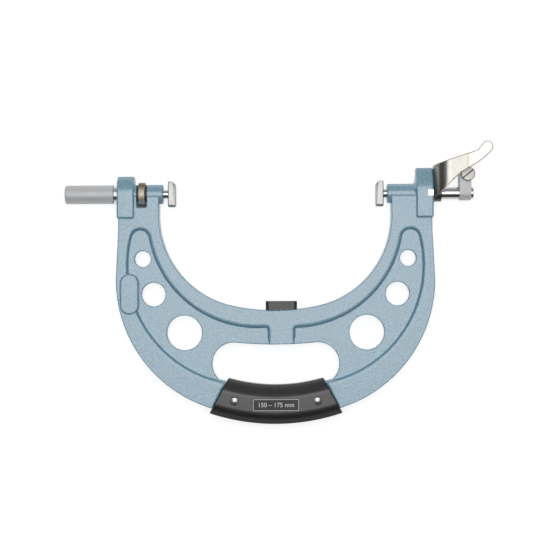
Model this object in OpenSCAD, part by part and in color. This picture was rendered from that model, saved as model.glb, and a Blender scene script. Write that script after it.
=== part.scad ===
// Snap gauge for outside diameters, with a retracting anvil and a clamp for a dial indicator.
// X runs along the measuring axis, Y up out of the throat and Z out of the front face.
// The origin is the centre of the reference anvil's measuring face.

/* [Measuring range] */
// Distance between the measuring faces with the reference anvil wound back
gauge_open = 175; // [173:0.5:178]
// Travel of the reference anvil towards the retracting anvil
gauge_travel = 25; // [10:0.5:26]
// How far the reference anvil stands wound in from its rear stop
wound_in = 1; // [0:0.1:3]
// Travel of the retracting anvil
retract_travel = 2; // [1:0.1:2.4]

/* [Throat] */
// Room between an open anvil's face and the throat's widest place
throat_room = 13.5; // [12:0.1:15]
// Depth of the throat below the measuring axis
throat_depth = 101.5; // [96:0.5:106]
// Radius of the throat's two side curves
throat_side_r = 80.7; // [72:0.5:90]
// Radius of the throat's bottom curve
throat_bottom_r = 170.5; // [150:1:200]

/* [Frame outline] */
// Distance from the throat's widest place to the frame's widest place
arm_w = 37.6; // [36:0.2:41]
// Depth of the frame below the measuring axis
frame_depth = 195.5; // [190:0.5:202]
// Radius of the frame's two outer side curves
frame_side_r = 117; // [110:0.5:124]
// Radius of the handle bar's outer edge
handle_r = 177; // [168:1:186]
// How much narrower the frame is on each side across its arms
arm_taper = 2.3; // [0.6:0.1:4]
// Depth below the axis where the arms start to widen
arm_straight = 32; // [24:1:40]
// Half the thickness of the rims and arms
rim_half_t = 8; // [6.5:0.1:9]

/* [Web] */
// Half the thickness of the web between the rims
web_half_t = 4; // [2:0.1:5.5]
// Draft angle of the rim walls
rim_draft = 14; // [2:1:20]
// Width of the rim along the throat
throat_rim_w = 9.2; // [7:0.1:12]
// Radius of the web's edge along the throat
web_inner_r = 94.4; // [90:0.2:98]
// How far that edge's centre lies below the throat curve's centre
web_inner_drop = 2.5; // [0:0.1:5]
// Width of the rim along the outside
outer_rim_w = 9.5; // [7:0.1:12]
// Radius of the web's outer edge
web_outer_r = 104.2; // [100:0.2:107]
// How far that edge's centre lies above the outer curve's centre
web_outer_lift = 12.4; // [8:0.2:16]
// How much less the radius of the web's upper ends is than half the web's width in the arm
web_end_room = 0.65; // [0.3:0.05:1.5]
// Diameters of the three lightening holes, from the top down
hole_d = [14, 20.7, 30.4]; // [8:0.1:34]
// Angles of the holes below the horizontal, about the throat's side curve
hole_angle = [21.7, 38.7, 60]; // [10:0.1:70]
// Distances of the hole centres from the throat's edge
hole_offset = [21.8, 29.4, 37.5]; // [18:0.1:42]
// Width of the raised oval pad on the left arm
oval_w = 16.4; // [12:0.2:18]
// Length of the raised oval pad
oval_len = 35.4; // [26:0.2:44]
// Distance of the oval pad's centre from the frame's widest place
oval_inset = 11.6; // [9.5:0.1:13]
// Depth of the oval pad's centre below the measuring axis
oval_depth = 87; // [80:0.5:94]
// Height of the oval pad above the rim
oval_rise = 1.2; // [0.4:0.1:2]

/* [Handle] */
// Width of the hand hole
hand_w = 110.6; // [90:0.5:120]
// Radius of the hand hole's ends
hand_end_r = 18.6; // [15:0.1:20]
// Radius of the hand hole's upper edge
hand_top_r = 357; // [250:1:500]
// Height of the handle bar
bar_h = 23.8; // [20:0.2:27]
// Half the thickness of the handle bar under the grip
bar_half_t = 6; // [4:0.1:6.5]
// Width of the grip across its upper corners
grip_top_w = 82.6; // [70:0.2:90]
// Slant of the grip's ends
grip_end_angle = 28.8; // [15:0.2:35]
// How far the grip stands above the bar's inner edge
grip_lip_in = 5.5; // [4:0.1:7]
// How far the grip stands below the bar's outer edge
grip_lip_out = 4.7; // [3.5:0.1:7]
// Half the thickness of the grip at its edges
grip_edge_t = 4.5; // [3:0.1:6]
// Width of the grip's hollow upper bevel
grip_bevel_in = 8.5; // [6:0.1:10]
// Width of the grip's lower bevel
grip_bevel_out = 10.5; // [6:0.1:12]
// Radius of the hollow in the upper bevel
grip_cove_r = 13; // [10:0.5:30]
// Room between the grip's hollow and the bar's edges
grip_room = 0.6; // [0.5:0.05:0.8]
// Angle of each grip rivet from the middle
rivet_angle = 12.6; // [9:0.1:14]
// Diameter of the rivet shanks
rivet_d = 3; // [2:0.1:4]
// Diameter of the rivet heads
rivet_head_d = 5.8; // [4.5:0.1:7]
// Thickness of the rivet heads
rivet_head_t = 1.6; // [1:0.1:2]
// Diameter of the rivet counterbores
rivet_sink_d = 7.5; // [6.2:0.1:9]
// Depth of the rivet counterbores
rivet_sink = 2.2; // [1.6:0.1:3]
// How far the range plate's middle lies below the middle of the grip's flat
plate_drop = 1; // [-1.5:0.1:1.5]
// Width of the range plate
plate_w = 40.4; // [30:0.2:46]
// Height of the range plate
plate_h = 10.8; // [8:0.1:11.5]
// Thickness of the range plate
plate_t = 0.8; // [0.6:0.1:1.2]
// Depth of the range plate's recess in the grip
plate_sink = 0.5; // [0.2:0.1:0.6]

/* [Bosses] */
// How far the bosses' end faces stand out past the arms
boss_step = 1; // [0.2:0.1:2.5]
// Width of each boss along the measuring axis
boss_w = 15; // [13:0.2:17]
// Half the thickness of the bosses, and of the grip, on which the gauge lies
boss_half_t = 11.5; // [10.8:0.1:13]
// Drop of the bosses below the measuring axis
boss_drop = 21.4; // [18:0.2:24]
// Rise of the left boss above the measuring axis
left_boss_rise = 15.5; // [13:0.2:17]
// Radius of the left boss's rounded top
left_boss_round = 18; // [17.5:0.5:26]
// Rise of the right boss above the measuring axis
right_boss_rise = 22.2; // [19:0.2:25]
// Radius of the right boss's rounded top
right_boss_round = 30; // [26:0.5:36]
// Radius of the bosses' lower inner corners
boss_corner_r = 1.8; // [0.5:0.1:4]
// Diameter of the spindle tubes
tube_d = 17; // [15:0.2:19]
// Fillet radius between the right tube and its boss
tube_fillet = 3.6; // [1:0.1:5]
// How far the tubes stand into the throat
tube_stand = 3.5; // [2:0.1:4]

/* [Spindles and anvils] */
// Diameter of both spindles
spindle_d = 8; // [7:0.1:8.6]
// Height of the anvils
anvil_h = 22.4; // [18:0.2:25]
// Width of the anvils from front to back
anvil_w = 10; // [9:0.2:14]
// Thickness of the anvils, with their carbide tips
anvil_t = 6.8; // [5:0.1:8]
// Thickness of the carbide tips
tip_t = 1.4; // [0.8:0.1:2]
// Radius of the anvils' lead-in above the measuring face
lead_in_r = 5; // [2:0.1:6]
// Radius of the lower corner of the measuring face
anvil_corner_r = 1.5; // [0.5:0.1:3]
// Chamfer along the anvils' lower edges
anvil_chamfer = 1.8; // [0.5:0.1:3]

/* [Adjusting end] */
// Diameter of the cap
cap_d = 16.2; // [15:0.1:18]
// Thickness of the cap's end wall
cap_end = 2.5; // [1.5:0.1:4]
// Diameter of the cavity in the cap
cap_cavity_d = 9; // [8:0.1:11]
// Radius of the cap's rounded end
cap_round = 1.4; // [0.5:0.1:3]
// Diameter of the bush's neck between cap and boss
neck_d = 15; // [14:0.1:16]
// Length of the neck
neck_len = 3.2; // [2:0.1:5]
// Diameter of the bush in the boss
bush_d = 13; // [12:0.1:13.6]
// Depth of the bush in the boss
bush_depth = 13; // [10:0.1:14]
// Diameter of the bush's tail under the cap
bush_tail_d = 12; // [11:0.1:12.6]
// Length of the bush's tail
bush_tail = 14.5; // [12:0.1:16]
// Length of the threaded part of the bush
nut_len = 8; // [6:0.1:9]
// Room behind the spindle when it is wound back
rear_room = 1.5; // [0.5:0.1:3]
// Diameter of the adjusting screw
screw_d = 6; // [5:0.1:6.4]
// Diameter of the screw's neck in the spindle
screw_neck_d = 4; // [3.6:0.1:4.4]
// Length of the screw's neck
screw_neck_len = 7; // [6:0.1:9]
// Width of the screwdriver slot
driver_slot_w = 1; // [0.6:0.1:1.4]
// Depth of the screwdriver slot
driver_slot_depth = 1.6; // [1:0.1:2.4]
// Diameter of the pin that holds the screw's neck
neck_pin_d = 1.5; // [1:0.1:1.6]
// Diameter of the key pin in the left tube
key_pin_d = 2; // [1.5:0.1:2.4]
// Depth of the spindle's keyway
keyway_depth = 1; // [0.6:0.1:1.2]
// Distance of the key pin from the tube's end
key_pin_inset = 6.5; // [4:0.1:8]
// Width of the slot for the lock ring
lock_slot_w = 9.5; // [8.6:0.1:10.5]
// Distance of the lock ring's middle from the left boss
lock_inset = 6.4; // [5.2:0.1:7]
// Depth of the lock slot below the measuring axis
lock_slot_depth = 11.8; // [11:0.1:14]
// Corner radius of the lock slot
lock_slot_r = 1.6; // [0.5:0.1:3]
// Diameter of the lock ring
lock_ring_d = 20.5; // [18:0.1:21]
// Width of the lock ring
lock_ring_w = 5.8; // [4.5:0.1:7]
// Edge chamfer of the lock ring
lock_ring_chamfer = 0.7; // [0.3:0.1:1.2]
// Outside diameter of the lock collet
collet_d = 13; // [11.5:0.1:14]
// Width of the collet's slit
collet_slit = 0.8; // [0.4:0.1:1.4]

/* [Indicator end] */
// Outside diameter of the stem tube
stem_d = 10.8; // [10.2:0.1:11.4]
// Length of the stem tube in the boss
stem_in = 11.3; // [9:0.1:12]
// Length of the stem tube outside the boss
stem_out = 35.3; // [34:0.1:40]
// Bore of the stem tube for the indicator's stem
indicator_d = 8.04; // [8.02:0.01:8.2]
// Depth of the indicator's bore
indicator_depth = 20.2; // [18:0.1:22]
// Diameter of the retracting spindle's tail
tail_d = 6; // [5.4:0.1:6.4]
// Depth of the keyway in that tail
tail_keyway_depth = 1; // [0.6:0.1:1.2]
// Length of the return spring at rest
spring_len = 11.5; // [9:0.1:13]
// Wire diameter of the return spring
spring_wire_d = 0.8; // [0.5:0.05:0.9]
// Number of coils of the return spring
spring_turns = 5; // [3:1:7]
// Thickness of the spring's shoulder ring
shoulder_t = 2.5; // [1.5:0.1:3]
// Length of the guide key in the boss
guide_key_len = 5.2; // [4.6:0.1:6]
// Width of the guide key in the boss
guide_key_w = 5.7; // [4:0.1:7]
// Width of the guide key's tongue
tongue_w = 2; // [1.4:0.1:2.6]
// Diameter of the lever's collar
collar_d = 14.5; // [13:0.1:16]
// Width of the lever's collar
collar_w = 6.3; // [5:0.1:7]
// Diameter of the collar's cross pin
cross_pin_d = 2; // [1.5:0.1:2.5]
// Width of the clamp along the stem
clamp_w = 10.2; // [8:0.1:11]
// Distance of the clamp from the stem tube's end
clamp_inset = 2.1; // [1:0.1:4]
// Outside diameter of the clamp's ring
clamp_d = 12.6; // [12:0.1:14]
// Rise of the clamp's ears above the measuring axis
clamp_rise = 21; // [20:0.1:24]
// Width of the clamp's slit
clamp_slit = 1; // [0.6:0.1:1.6]
// Height of the clamp screw above the measuring axis
clamp_screw_rise = 16.4; // [14.5:0.1:17]
// Distance of the clamp screw from the clamp's outer face
clamp_screw_inset = 3.2; // [2.6:0.1:5]
// Diameter of the clamp screw's shank
clamp_screw_d = 4; // [3:0.1:4.4]
// Diameter of the clamp screw's head
clamp_head_d = 12.2; // [10:0.1:13]
// Thickness of the clamp screw's head
clamp_head_t = 3.3; // [2.4:0.1:4]
// Width of the slot in the clamp screw's head
clamp_slot_w = 1.2; // [0.8:0.1:2]
// Depth of that slot
clamp_slot_depth = 1.4; // [0.8:0.1:1.8]
// Direction of that slot as the screw stands
clamp_slot_angle = 38; // [0:1:90]

/* [Lifting lever] */
// Thickness of the lever's sheet
lever_t = 0.9; // [0.6:0.1:1.2]
// Diameter of the lever's eye round the stem tube
lever_eye_d = 18; // [17:0.1:20]
// Gap between the lever's eye and the stem tube
lever_eye_gap = 0.9; // [0.7:0.1:1.5]
// Outside radius of the lever's bend
lever_bend_r = 14.5; // [12:0.1:17]
// Height of the bend's start above the mid-plane
lever_bend_z = 7.5; // [7.3:0.1:9]
// Distance from the lever's foot to its crease
lever_crease = 29; // [24:0.5:32]
// Upward tilt of the thumb piece beyond the crease
lever_tilt = 5; // [0:0.5:9]
// Distance from the lever's foot to the middle of its round tip
lever_tip_x = 45.3; // [42:0.1:48]
// Height of the round tip's middle above the measuring axis
lever_tip_y = 38.9; // [36:0.1:42]
// Radius of the lever's round tip
lever_tip_r = 5; // [3.5:0.1:6]
// Rise of the lever's upper edge at its foot
lever_foot_rise = 24.3; // [21:0.1:26]
// Drop of the lever's lower edge at its foot
lever_foot_drop = 4.2; // [2:0.1:6]
// Distance from the lever's foot to the neck below its round tip
lever_neck_x = 37; // [34:0.1:38]
// Height of that neck above the measuring axis
lever_neck_y = 36.2; // [34:0.1:38]
// Angle above the horizontal at which the neck meets the round tip
lever_neck_angle = 35; // [20:1:60]
// Distance from the lever's foot to the waist in its lower edge
lever_waist_x = 22.5; // [18:0.1:26]
// Height of that waist above the measuring axis
lever_waist_y = 16.5; // [14:0.1:19]
// Radius of the lever's lower edge between waist and tip
lever_edge_r = 59; // [40:1:90]
// Angle below the horizontal at which that edge leaves the round tip
lever_edge_angle = 41; // [30:1:50]
// Angle that the curved edge sweeps
lever_edge_sweep = 20; // [10:1:22]

/* [Work stop] */
// Distance of the work stop from the mid-plane
stop_x = 5; // [0:0.5:8]
// Width of the raised pad below the work stop
stop_pad_w = 21.4; // [18:0.2:26]
// Fillet radius where that pad meets the throat's rim
stop_pad_fillet = 3; // [1:0.1:5]
// Length of the stop block
stop_len = 27.2; // [22:0.2:32]
// Height of the stop block
stop_h = 8; // [6:0.1:10]
// Width of the stop block from front to back
stop_w = 13; // [10:0.2:15]
// Bevel on the ends of the stop block
stop_bevel = 2.4; // [1:0.1:4]
// Diameter of the stop's post
post_d = 8; // [6:0.1:9]
// Depth of the post in the frame
post_depth = 22.5; // [18:0.1:24]
// Diameter of the post's set screw
set_screw_d = 4; // [3:0.1:5]
// Size of the set screw's hexagon socket across its corners
set_screw_hex = 2.2; // [1.5:0.1:2.6]
// Depth of the set screw below the throat's edge
set_screw_depth = 16; // [13:0.1:17]

/* [Clearances] */
// Radial clearance of pressed and seated pieces
press_gap = 0.01; // [0.01:0.01:0.03]
// Radial clearance of sliding and turning fits
run_gap = 0.03; // [0.02:0.01:0.06]
// Clearance between seated pieces
seat_gap = 0.1; // [0.05:0.05:0.15]
// Clearance between pieces that pass each other
free_gap = 0.3; // [0.2:0.05:0.4]

/* [Hidden] */
$fn = 96;

// Overlap of cutting shapes past the faces that they cut
cut = 1;
// Depth by which arcs that run into each other cross
blend = 0.005;
// Half the length of shapes that only limit others
reach = 300;

// Half the widths of the throat and of the frame
throat_half_w = gauge_open / 2 + throat_room;
frame_half_w = throat_half_w + arm_w;

// Centres of the throat's curves, where the side curves run smoothly into the bottom curve
throat_side_x = throat_half_w - throat_side_r;
throat_bottom_y = throat_bottom_r - throat_depth;
throat_side_y = throat_bottom_y - sqrt(pow(throat_bottom_r - throat_side_r, 2) - pow(throat_side_x, 2));

// Distances of the arms, of the bosses' end faces and of the tubes' ends from the mid-plane
arm_half_w = frame_half_w - arm_taper;
boss_end = arm_half_w + boss_step;
tube_end = throat_half_w - tube_stand;

// Centres of the frame's outer curves, and of the handle bar
frame_side_x = frame_half_w - frame_side_r;
handle_y = handle_r - frame_depth;
frame_side_y = handle_y - sqrt(pow(handle_r - frame_side_r, 2) - pow(frame_side_x, 2));
bar_inner_r = handle_r - bar_h;

// Centres of the web's edges, and of the round end that touches both
web_depth = rim_half_t - web_half_t;
web_end_r = (arm_w - throat_rim_w - outer_rim_w) / 2 - web_end_room;
web_inner_c = [-(throat_half_w + throat_rim_w - web_inner_r), throat_side_y - web_inner_drop];
web_outer_c = [-(frame_half_w - outer_rim_w - web_outer_r), frame_side_y + web_outer_lift];
web_end_c = meeting_point(web_inner_c, web_inner_r + web_end_r, web_outer_c, web_outer_r - web_end_r);

// Centres of the hand hole's end and of its upper edge
hand_end_x = hand_w / 2 - hand_end_r;
hand_end_y = handle_y - sqrt(pow(bar_inner_r - hand_end_r, 2) - pow(hand_end_x, 2));
hand_top_y = hand_end_y + sqrt(pow(hand_top_r + hand_end_r, 2) - pow(hand_end_x, 2));

// Radii of the grip about the handle's centre
grip_in_r = bar_inner_r - grip_lip_in;
grip_out_r = handle_r + grip_lip_out;
grip_mid_r = (bar_inner_r + handle_r) / 2;
flat_in_r = grip_in_r + grip_bevel_in;
flat_out_r = grip_out_r - grip_bevel_out;
grip_top_y = handle_y - sqrt(pow(grip_in_r, 2) - pow(grip_top_w / 2, 2));

// Places along the measuring axis on the adjusting side
face_x = gauge_open / 2;
anvil_back_x = face_x + anvil_t;
neck_x = boss_end + neck_len;
bush_end_x = neck_x + bush_tail;
nut_x = bush_end_x - nut_len;
spindle_rear_x = nut_x - rear_room;
screw_end_x = bush_end_x + gauge_travel;
cap_inside_x = screw_end_x + free_gap;
neck_pin_x = spindle_rear_x - screw_neck_len / 2;
neck_pin_y = screw_neck_d / 2;
neck_groove_r = neck_pin_y - neck_pin_d / 2 - run_gap;
key_pin_x = tube_end + key_pin_inset;
lock_x = boss_end - boss_w - lock_inset;

// Places along the measuring axis on the indicator side
stem_start_x = boss_end - stem_in;
stem_end_x = boss_end + stem_out;
indicator_x = stem_end_x - indicator_depth;
spring_x = stem_start_x - spring_len;
shoulder_x = spring_x - shoulder_t;
step_x = stem_start_x - retract_travel - free_gap;
tail_end_x = indicator_x - retract_travel - free_gap;
guide_key_x = boss_end - guide_key_len;
keyway_floor = tail_d / 2 - tail_keyway_depth;
lever_x = boss_end + seat_gap;
collar_x = lever_x + lever_t + seat_gap;
cross_pin_x = collar_x + collar_w / 2;
clamp_end_x = stem_end_x - clamp_inset;
clamp_screw_x = clamp_end_x - clamp_screw_inset;
leaf_z = lever_bend_z + lever_bend_r;

// Points on the throat's bottom below the work stop
stop_floor_y = throat_bottom_y - sqrt(pow(throat_bottom_r, 2) - pow(stop_x, 2));

paint = "#a9c0cb";
steel = "#c9ccce";
satin = "#9b9ea2";
black = "#26272a";
charcoal = "#3c3d40";

// Left one of the two points at given distances from two centres, above the centres' line
function meeting_point(a, ra, b, rb) =
  let (d = norm(b - a), u = (b - a) / d, along = (d * d + ra * ra - rb * rb) / (2 * d))
  let (off = sqrt(ra * ra - along * along))
  a + along * u + off * [u.y, -u.x];

// Points along an arc about a centre
function arc_points(c, r, from, to, steps) =
  [for (i = [0:steps]) c + r * [cos(from + (to - from) * i / steps), sin(from + (to - from) * i / steps)]];

// Unit vector from one point to another
function toward(a, b) = (b - a) / norm(b - a);

// Places a piece in the gauge's own frame, with the origin on the reference face
module in_gauge_frame() {
  translate([face_x - wound_in, 0, 0]) children();
}

// Moves a piece of the adjusting spindle along with the wound-in anvil
module on_reference() {
  translate([wound_in, 0, 0]) children();
}

// Round bar along the measuring axis from one place to another
module bar(x0, x1, r0, r1) {
  translate([x0, 0, 0]) rotate([0, 90, 0]) cylinder(h = x1 - x0, r1 = r0, r2 = is_undef(r1) ? r0 : r1);
}

// Round bar across the gauge, from back to front
module cross_bar(x, y, z0, z1, r) {
  translate([x, y, z0]) cylinder(h = z1 - z0, r = r);
}

// Round bar on the work stop's line, between two depths below the measuring axis
module stop_bar(depth0, depth1, r) {
  translate([stop_x, -depth0, 0]) rotate([90, 0, 0]) cylinder(h = depth1 - depth0, r = r);
}

// Box given by its low and high corners
module block(low, high) {
  translate(low) cube(high - low);
}

// Flat shape given its thickness on both sides of the mid-plane
module slab(half_t) {
  translate([0, 0, -half_t]) linear_extrude(2 * half_t) children();
}

module both_sides() {
  for (side = [0, 1]) mirror([side, 0, 0]) children();
}

module both_faces() {
  for (face = [0, 1]) mirror([0, 0, face]) children();
}

// Disc sector between the directions from its centre to two side centres
module bottom_sector(y, r, side_x, side_y) {
  left = reach * toward([0, y], [-side_x, side_y]);
  intersection() {
    translate([0, y]) circle(r - blend);
    polygon([[0, y], [left.x, y + left.y], [-left.x, y + left.y]]);
  }
}

// Throat of the gauge, open at the top
module throat_shape() {
  both_sides() translate([throat_side_x, throat_side_y]) circle(throat_side_r);
  bottom_sector(throat_bottom_y, throat_bottom_r, throat_side_x, throat_side_y);
  translate([-throat_half_w + blend, throat_side_y]) square([2 * (throat_half_w - blend), reach]);
}

// Outline of the frame up to the measuring axis
module frame_shape() {
  low_x = frame_half_w - seat_gap;
  intersection() {
    both_sides() translate([frame_side_x, frame_side_y]) circle(frame_side_r);
    translate([-reach, -arm_straight - reach]) square([2 * reach, reach]);
  }
  bottom_sector(handle_y, handle_r, frame_side_x, frame_side_y);
  polygon([
    [-low_x, frame_side_y], [-arm_half_w, -arm_straight], [-arm_half_w, 0],
    [arm_half_w, 0], [arm_half_w, -arm_straight], [low_x, frame_side_y]
  ]);
}

// Hand hole, with round ends that run into the handle bar and into the upper edge
module hand_hole_shape() {
  end_c = [hand_end_x, hand_end_y];
  low = [0, handle_y] + (bar_inner_r + cut) * toward([0, handle_y], end_c);
  high = end_c + (hand_end_r + cut) * toward(end_c, [0, hand_top_y]);
  both_sides() translate(end_c) circle(hand_end_r);
  difference() {
    intersection() {
      translate([0, handle_y]) circle(bar_inner_r - blend);
      polygon([
        low, end_c, high, [-high.x, high.y], [-end_c.x, end_c.y], [-low.x, low.y],
        [0, handle_y - bar_inner_r - cut]
      ]);
    }
    translate([0, hand_top_y]) circle(hand_top_r + blend);
  }
}

module lightening_holes_shape() {
  for (i = [0:len(hole_d) - 1])
    both_sides()
      translate([throat_side_x, throat_side_y])
        rotate(-hole_angle[i])
          translate([throat_side_r + hole_offset[i], 0])
            circle(d = hole_d[i]);
}

// Cone from the web's face up past the rim's face, widening by the draft
module draft_cone(c, r, sign) {
  slope = sign * tan(rim_draft);
  translate([c.x, c.y, web_half_t])
    cylinder(h = web_depth + cut, r1 = r - slope * web_depth, r2 = r + slope * cut);
}

// Recess of the web on the left half of the front face
module web_recess() {
  out_dir = toward(web_outer_c, web_end_c);
  in_dir = toward(web_inner_c, web_end_c);
  draft_cone(web_end_c, web_end_r, 1);
  intersection() {
    difference() {
      draft_cone(web_outer_c, web_outer_r - blend, 1);
      draft_cone(web_inner_c, web_inner_r + blend, -1);
    }
    translate([0, 0, web_half_t]) linear_extrude(web_depth + cut) polygon([
      web_end_c + 2 * web_end_r * out_dir, web_end_c, web_end_c - 2 * web_end_r * in_dir,
      [0, throat_side_y], [0, -frame_depth], [-frame_half_w, -frame_depth]
    ]);
  }
}

// Raised pad that carries the work stop, from the throat's rim to the hand hole
module stop_pad_shape() {
  line_y = web_inner_c.y - sqrt(pow(web_inner_r, 2) - pow(stop_pad_w / 2 + web_inner_c.x, 2));
  translate([stop_x - stop_pad_w / 2, -frame_depth]) square([stop_pad_w, frame_depth]);
  for (side = [-1, 1])
    translate([stop_x + side * stop_pad_w / 2, line_y]) difference() {
      translate([-stop_pad_fillet, -stop_pad_fillet]) square(2 * stop_pad_fillet);
      translate([side * stop_pad_fillet, -stop_pad_fillet]) circle(stop_pad_fillet);
      translate([-stop_pad_fillet, -2 * stop_pad_fillet]) square([2 * stop_pad_fillet, stop_pad_fillet]);
    }
}

module oval_shape() {
  oval_x = oval_inset - frame_half_w;
  for (end = [-1, 1])
    translate([oval_x, -oval_depth + end * (oval_len - oval_w) / 2]) circle(d = oval_w);
  translate([oval_x, -oval_depth]) square([oval_w, oval_len - oval_w], center = true);
}

// Boss on the right side: a block below the axis, with a top that rounds back on both faces
module boss(rise, round_r) {
  inner_x = boss_end - boss_w;
  intersection() {
    slab(boss_half_t) difference() {
      translate([inner_x, -boss_drop]) square([boss_w, boss_drop + rise]);
      translate([inner_x, -boss_drop]) difference() {
        square(boss_corner_r);
        translate([boss_corner_r, boss_corner_r]) circle(boss_corner_r);
      }
    }
    union() {
      block([inner_x, -boss_drop, -boss_half_t], [boss_end, 0, boss_half_t]);
      intersection() {
        translate([0, 0, boss_half_t - round_r]) bar(inner_x, boss_end, round_r);
        translate([0, 0, round_r - boss_half_t]) bar(inner_x, boss_end, round_r);
        block([inner_x, -cut, -boss_half_t], [boss_end, rise, boss_half_t]);
      }
    }
  }
}

// Ring that fills the corner between the right tube and its boss
module tube_fillet_ring() {
  r = tube_d / 2;
  intersection() {
    translate([boss_end - boss_w, 0, 0]) rotate([0, 90, 0]) rotate_extrude() difference() {
      translate([r - cut, -tube_fillet]) square([tube_fillet + cut, tube_fillet + cut]);
      translate([r + tube_fillet, -tube_fillet]) circle(tube_fillet);
    }
    block([0, 0, -boss_half_t], [boss_end, tube_d, boss_half_t]);
  }
}

// Slot across the left tube and arm that the lock ring turns in
module lock_slot() {
  half = lock_slot_w / 2;
  translate([-lock_x, 0, 0]) slab(boss_half_t + cut) {
    translate([-half, lock_slot_r - lock_slot_depth]) square([lock_slot_w, lock_slot_depth + tube_d]);
    for (side = [-1, 1])
      translate([side * (half - lock_slot_r), lock_slot_r - lock_slot_depth]) circle(lock_slot_r);
    translate([lock_slot_r - half, -lock_slot_depth])
      square([lock_slot_w - 2 * lock_slot_r, 2 * lock_slot_r]);
  }
}

// Plan of the grip between its slanted ends
module grip_span_shape(gap) {
  top = grip_top_y + cut;
  bottom = handle_y - grip_out_r - cut;
  top_x = grip_top_w / 2 + (grip_top_y - top) * tan(grip_end_angle) + gap;
  bottom_x = grip_top_w / 2 + (grip_top_y - bottom) * tan(grip_end_angle) + gap;
  polygon([[-top_x, top], [top_x, top], [bottom_x, bottom], [-bottom_x, bottom]]);
}

module frame() {
  color(paint) difference() {
    union() {
      difference() {
        slab(rim_half_t) difference() {
          frame_shape();
          throat_shape();
          hand_hole_shape();
          lightening_holes_shape();
        }
        both_faces() difference() {
          both_sides() web_recess();
          linear_extrude(reach) stop_pad_shape();
        }
        both_faces() translate([0, 0, bar_half_t]) linear_extrude(reach) grip_span_shape(seat_gap);
      }
      translate([0, 0, web_half_t]) linear_extrude(web_depth + oval_rise) oval_shape();
      mirror([1, 0, 0]) boss(left_boss_rise, left_boss_round);
      boss(right_boss_rise, right_boss_round);
      both_sides() bar(tube_end, boss_end - cut, tube_d / 2);
      tube_fillet_ring();
    }
    lock_slot();
    both_sides() bar(tube_end - cut, boss_end, spindle_d / 2 + run_gap);
    bar(-boss_end - cut, bush_depth - boss_end, bush_d / 2 + press_gap);
    bar(shoulder_x, boss_end + cut, stem_d / 2 + press_gap);
    cross_bar(-key_pin_x, 0, -tube_d, 0, key_pin_d / 2 + press_gap);
    block([guide_key_x - press_gap, -guide_key_w / 2 - press_gap, 0],
          [boss_end + cut, guide_key_w / 2 + press_gap, boss_half_t + cut]);
    stop_bar(throat_depth - stop_h, throat_depth + post_depth, post_d / 2 + run_gap);
    cross_bar(stop_x, -throat_depth - set_screw_depth, -reach, 0, set_screw_d / 2 + run_gap);
    at_rivets() cylinder(h = 2 * boss_half_t, d = rivet_d + 2 * press_gap, center = true);
  }
}

// Section of a grip half, with radius across and height above the mid-plane upwards
module grip_section() {
  low = [grip_in_r, grip_edge_t];
  high = [flat_in_r, boss_half_t];
  half_chord = norm(high - low) / 2;
  side = [-(high - low).y, (high - low).x] / (2 * half_chord);
  difference() {
    polygon([
      [grip_in_r, 0], low, high, [flat_out_r, boss_half_t], [grip_out_r, grip_edge_t], [grip_out_r, 0]
    ]);
    translate((low + high) / 2 + sqrt(pow(grip_cove_r, 2) - pow(half_chord, 2)) * side) circle(grip_cove_r);
    translate([bar_inner_r - grip_room, -cut]) square([bar_h + 2 * grip_room, bar_half_t + seat_gap + cut]);
  }
}

module grip_half() {
  difference() {
    intersection() {
      translate([0, handle_y, 0]) rotate(180) rotate_extrude(angle = 180) grip_section();
      linear_extrude(boss_half_t) grip_span_shape(0);
    }
    at_rivets() {
      cylinder(h = boss_half_t + cut, d = rivet_d + 2 * press_gap);
      translate([0, 0, boss_half_t - rivet_sink]) cylinder(h = rivet_sink + cut, d = rivet_sink_d);
    }
  }
}

module at_rivets() {
  for (side = [-1, 1])
    translate([0, handle_y, 0]) rotate(side * rivet_angle) translate([0, -grip_mid_r, 0]) children();
}

// Place of the range plate, with its foot in the grip's recess
module at_plate() {
  plate_r = (flat_in_r + flat_out_r) / 2 + plate_drop;
  translate([0, handle_y - plate_r, boss_half_t - plate_sink]) children();
}

module grip_front() {
  color(charcoal) difference() {
    grip_half();
    at_plate() translate([0, 0, cut])
      cube([plate_w + 2 * seat_gap, plate_h + 2 * seat_gap, 2 * cut], center = true);
  }
}

module grip_back() {
  color(charcoal) mirror([0, 0, 1]) grip_half();
}

module grip_rivets() {
  seat = boss_half_t - rivet_sink;
  color(steel) at_rivets() {
    cylinder(h = 2 * seat, d = rivet_d, center = true);
    both_faces() translate([0, 0, seat])
      cylinder(h = rivet_head_t, d1 = rivet_head_d, d2 = rivet_head_d - rivet_head_t);
  }
}

module range_plate() {
  color(black) at_plate() translate([0, 0, plate_t / 2]) cube([plate_w, plate_h, plate_t], center = true);
}

module spindle_cap() {
  end_x = -cap_inside_x - cap_end;
  color(satin) difference() {
    union() {
      bar(end_x, end_x + cap_round, cap_d / 2 - cap_round, cap_d / 2);
      bar(end_x + cap_round, -neck_x - seat_gap, cap_d / 2);
    }
    bar(-bush_end_x - free_gap, 0, bush_tail_d / 2 + run_gap);
    bar(-cap_inside_x, 0, cap_cavity_d / 2);
  }
}

module screw_bush() {
  color(steel) difference() {
    union() {
      bar(-bush_end_x, -neck_x, bush_tail_d / 2);
      bar(-neck_x, -boss_end, neck_d / 2);
      bar(-boss_end, bush_depth - boss_end, bush_d / 2);
    }
    bar(-bush_end_x - cut, 0, screw_d / 2 + run_gap);
    bar(-nut_x, 0, spindle_d / 2 + run_gap);
  }
}

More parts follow.
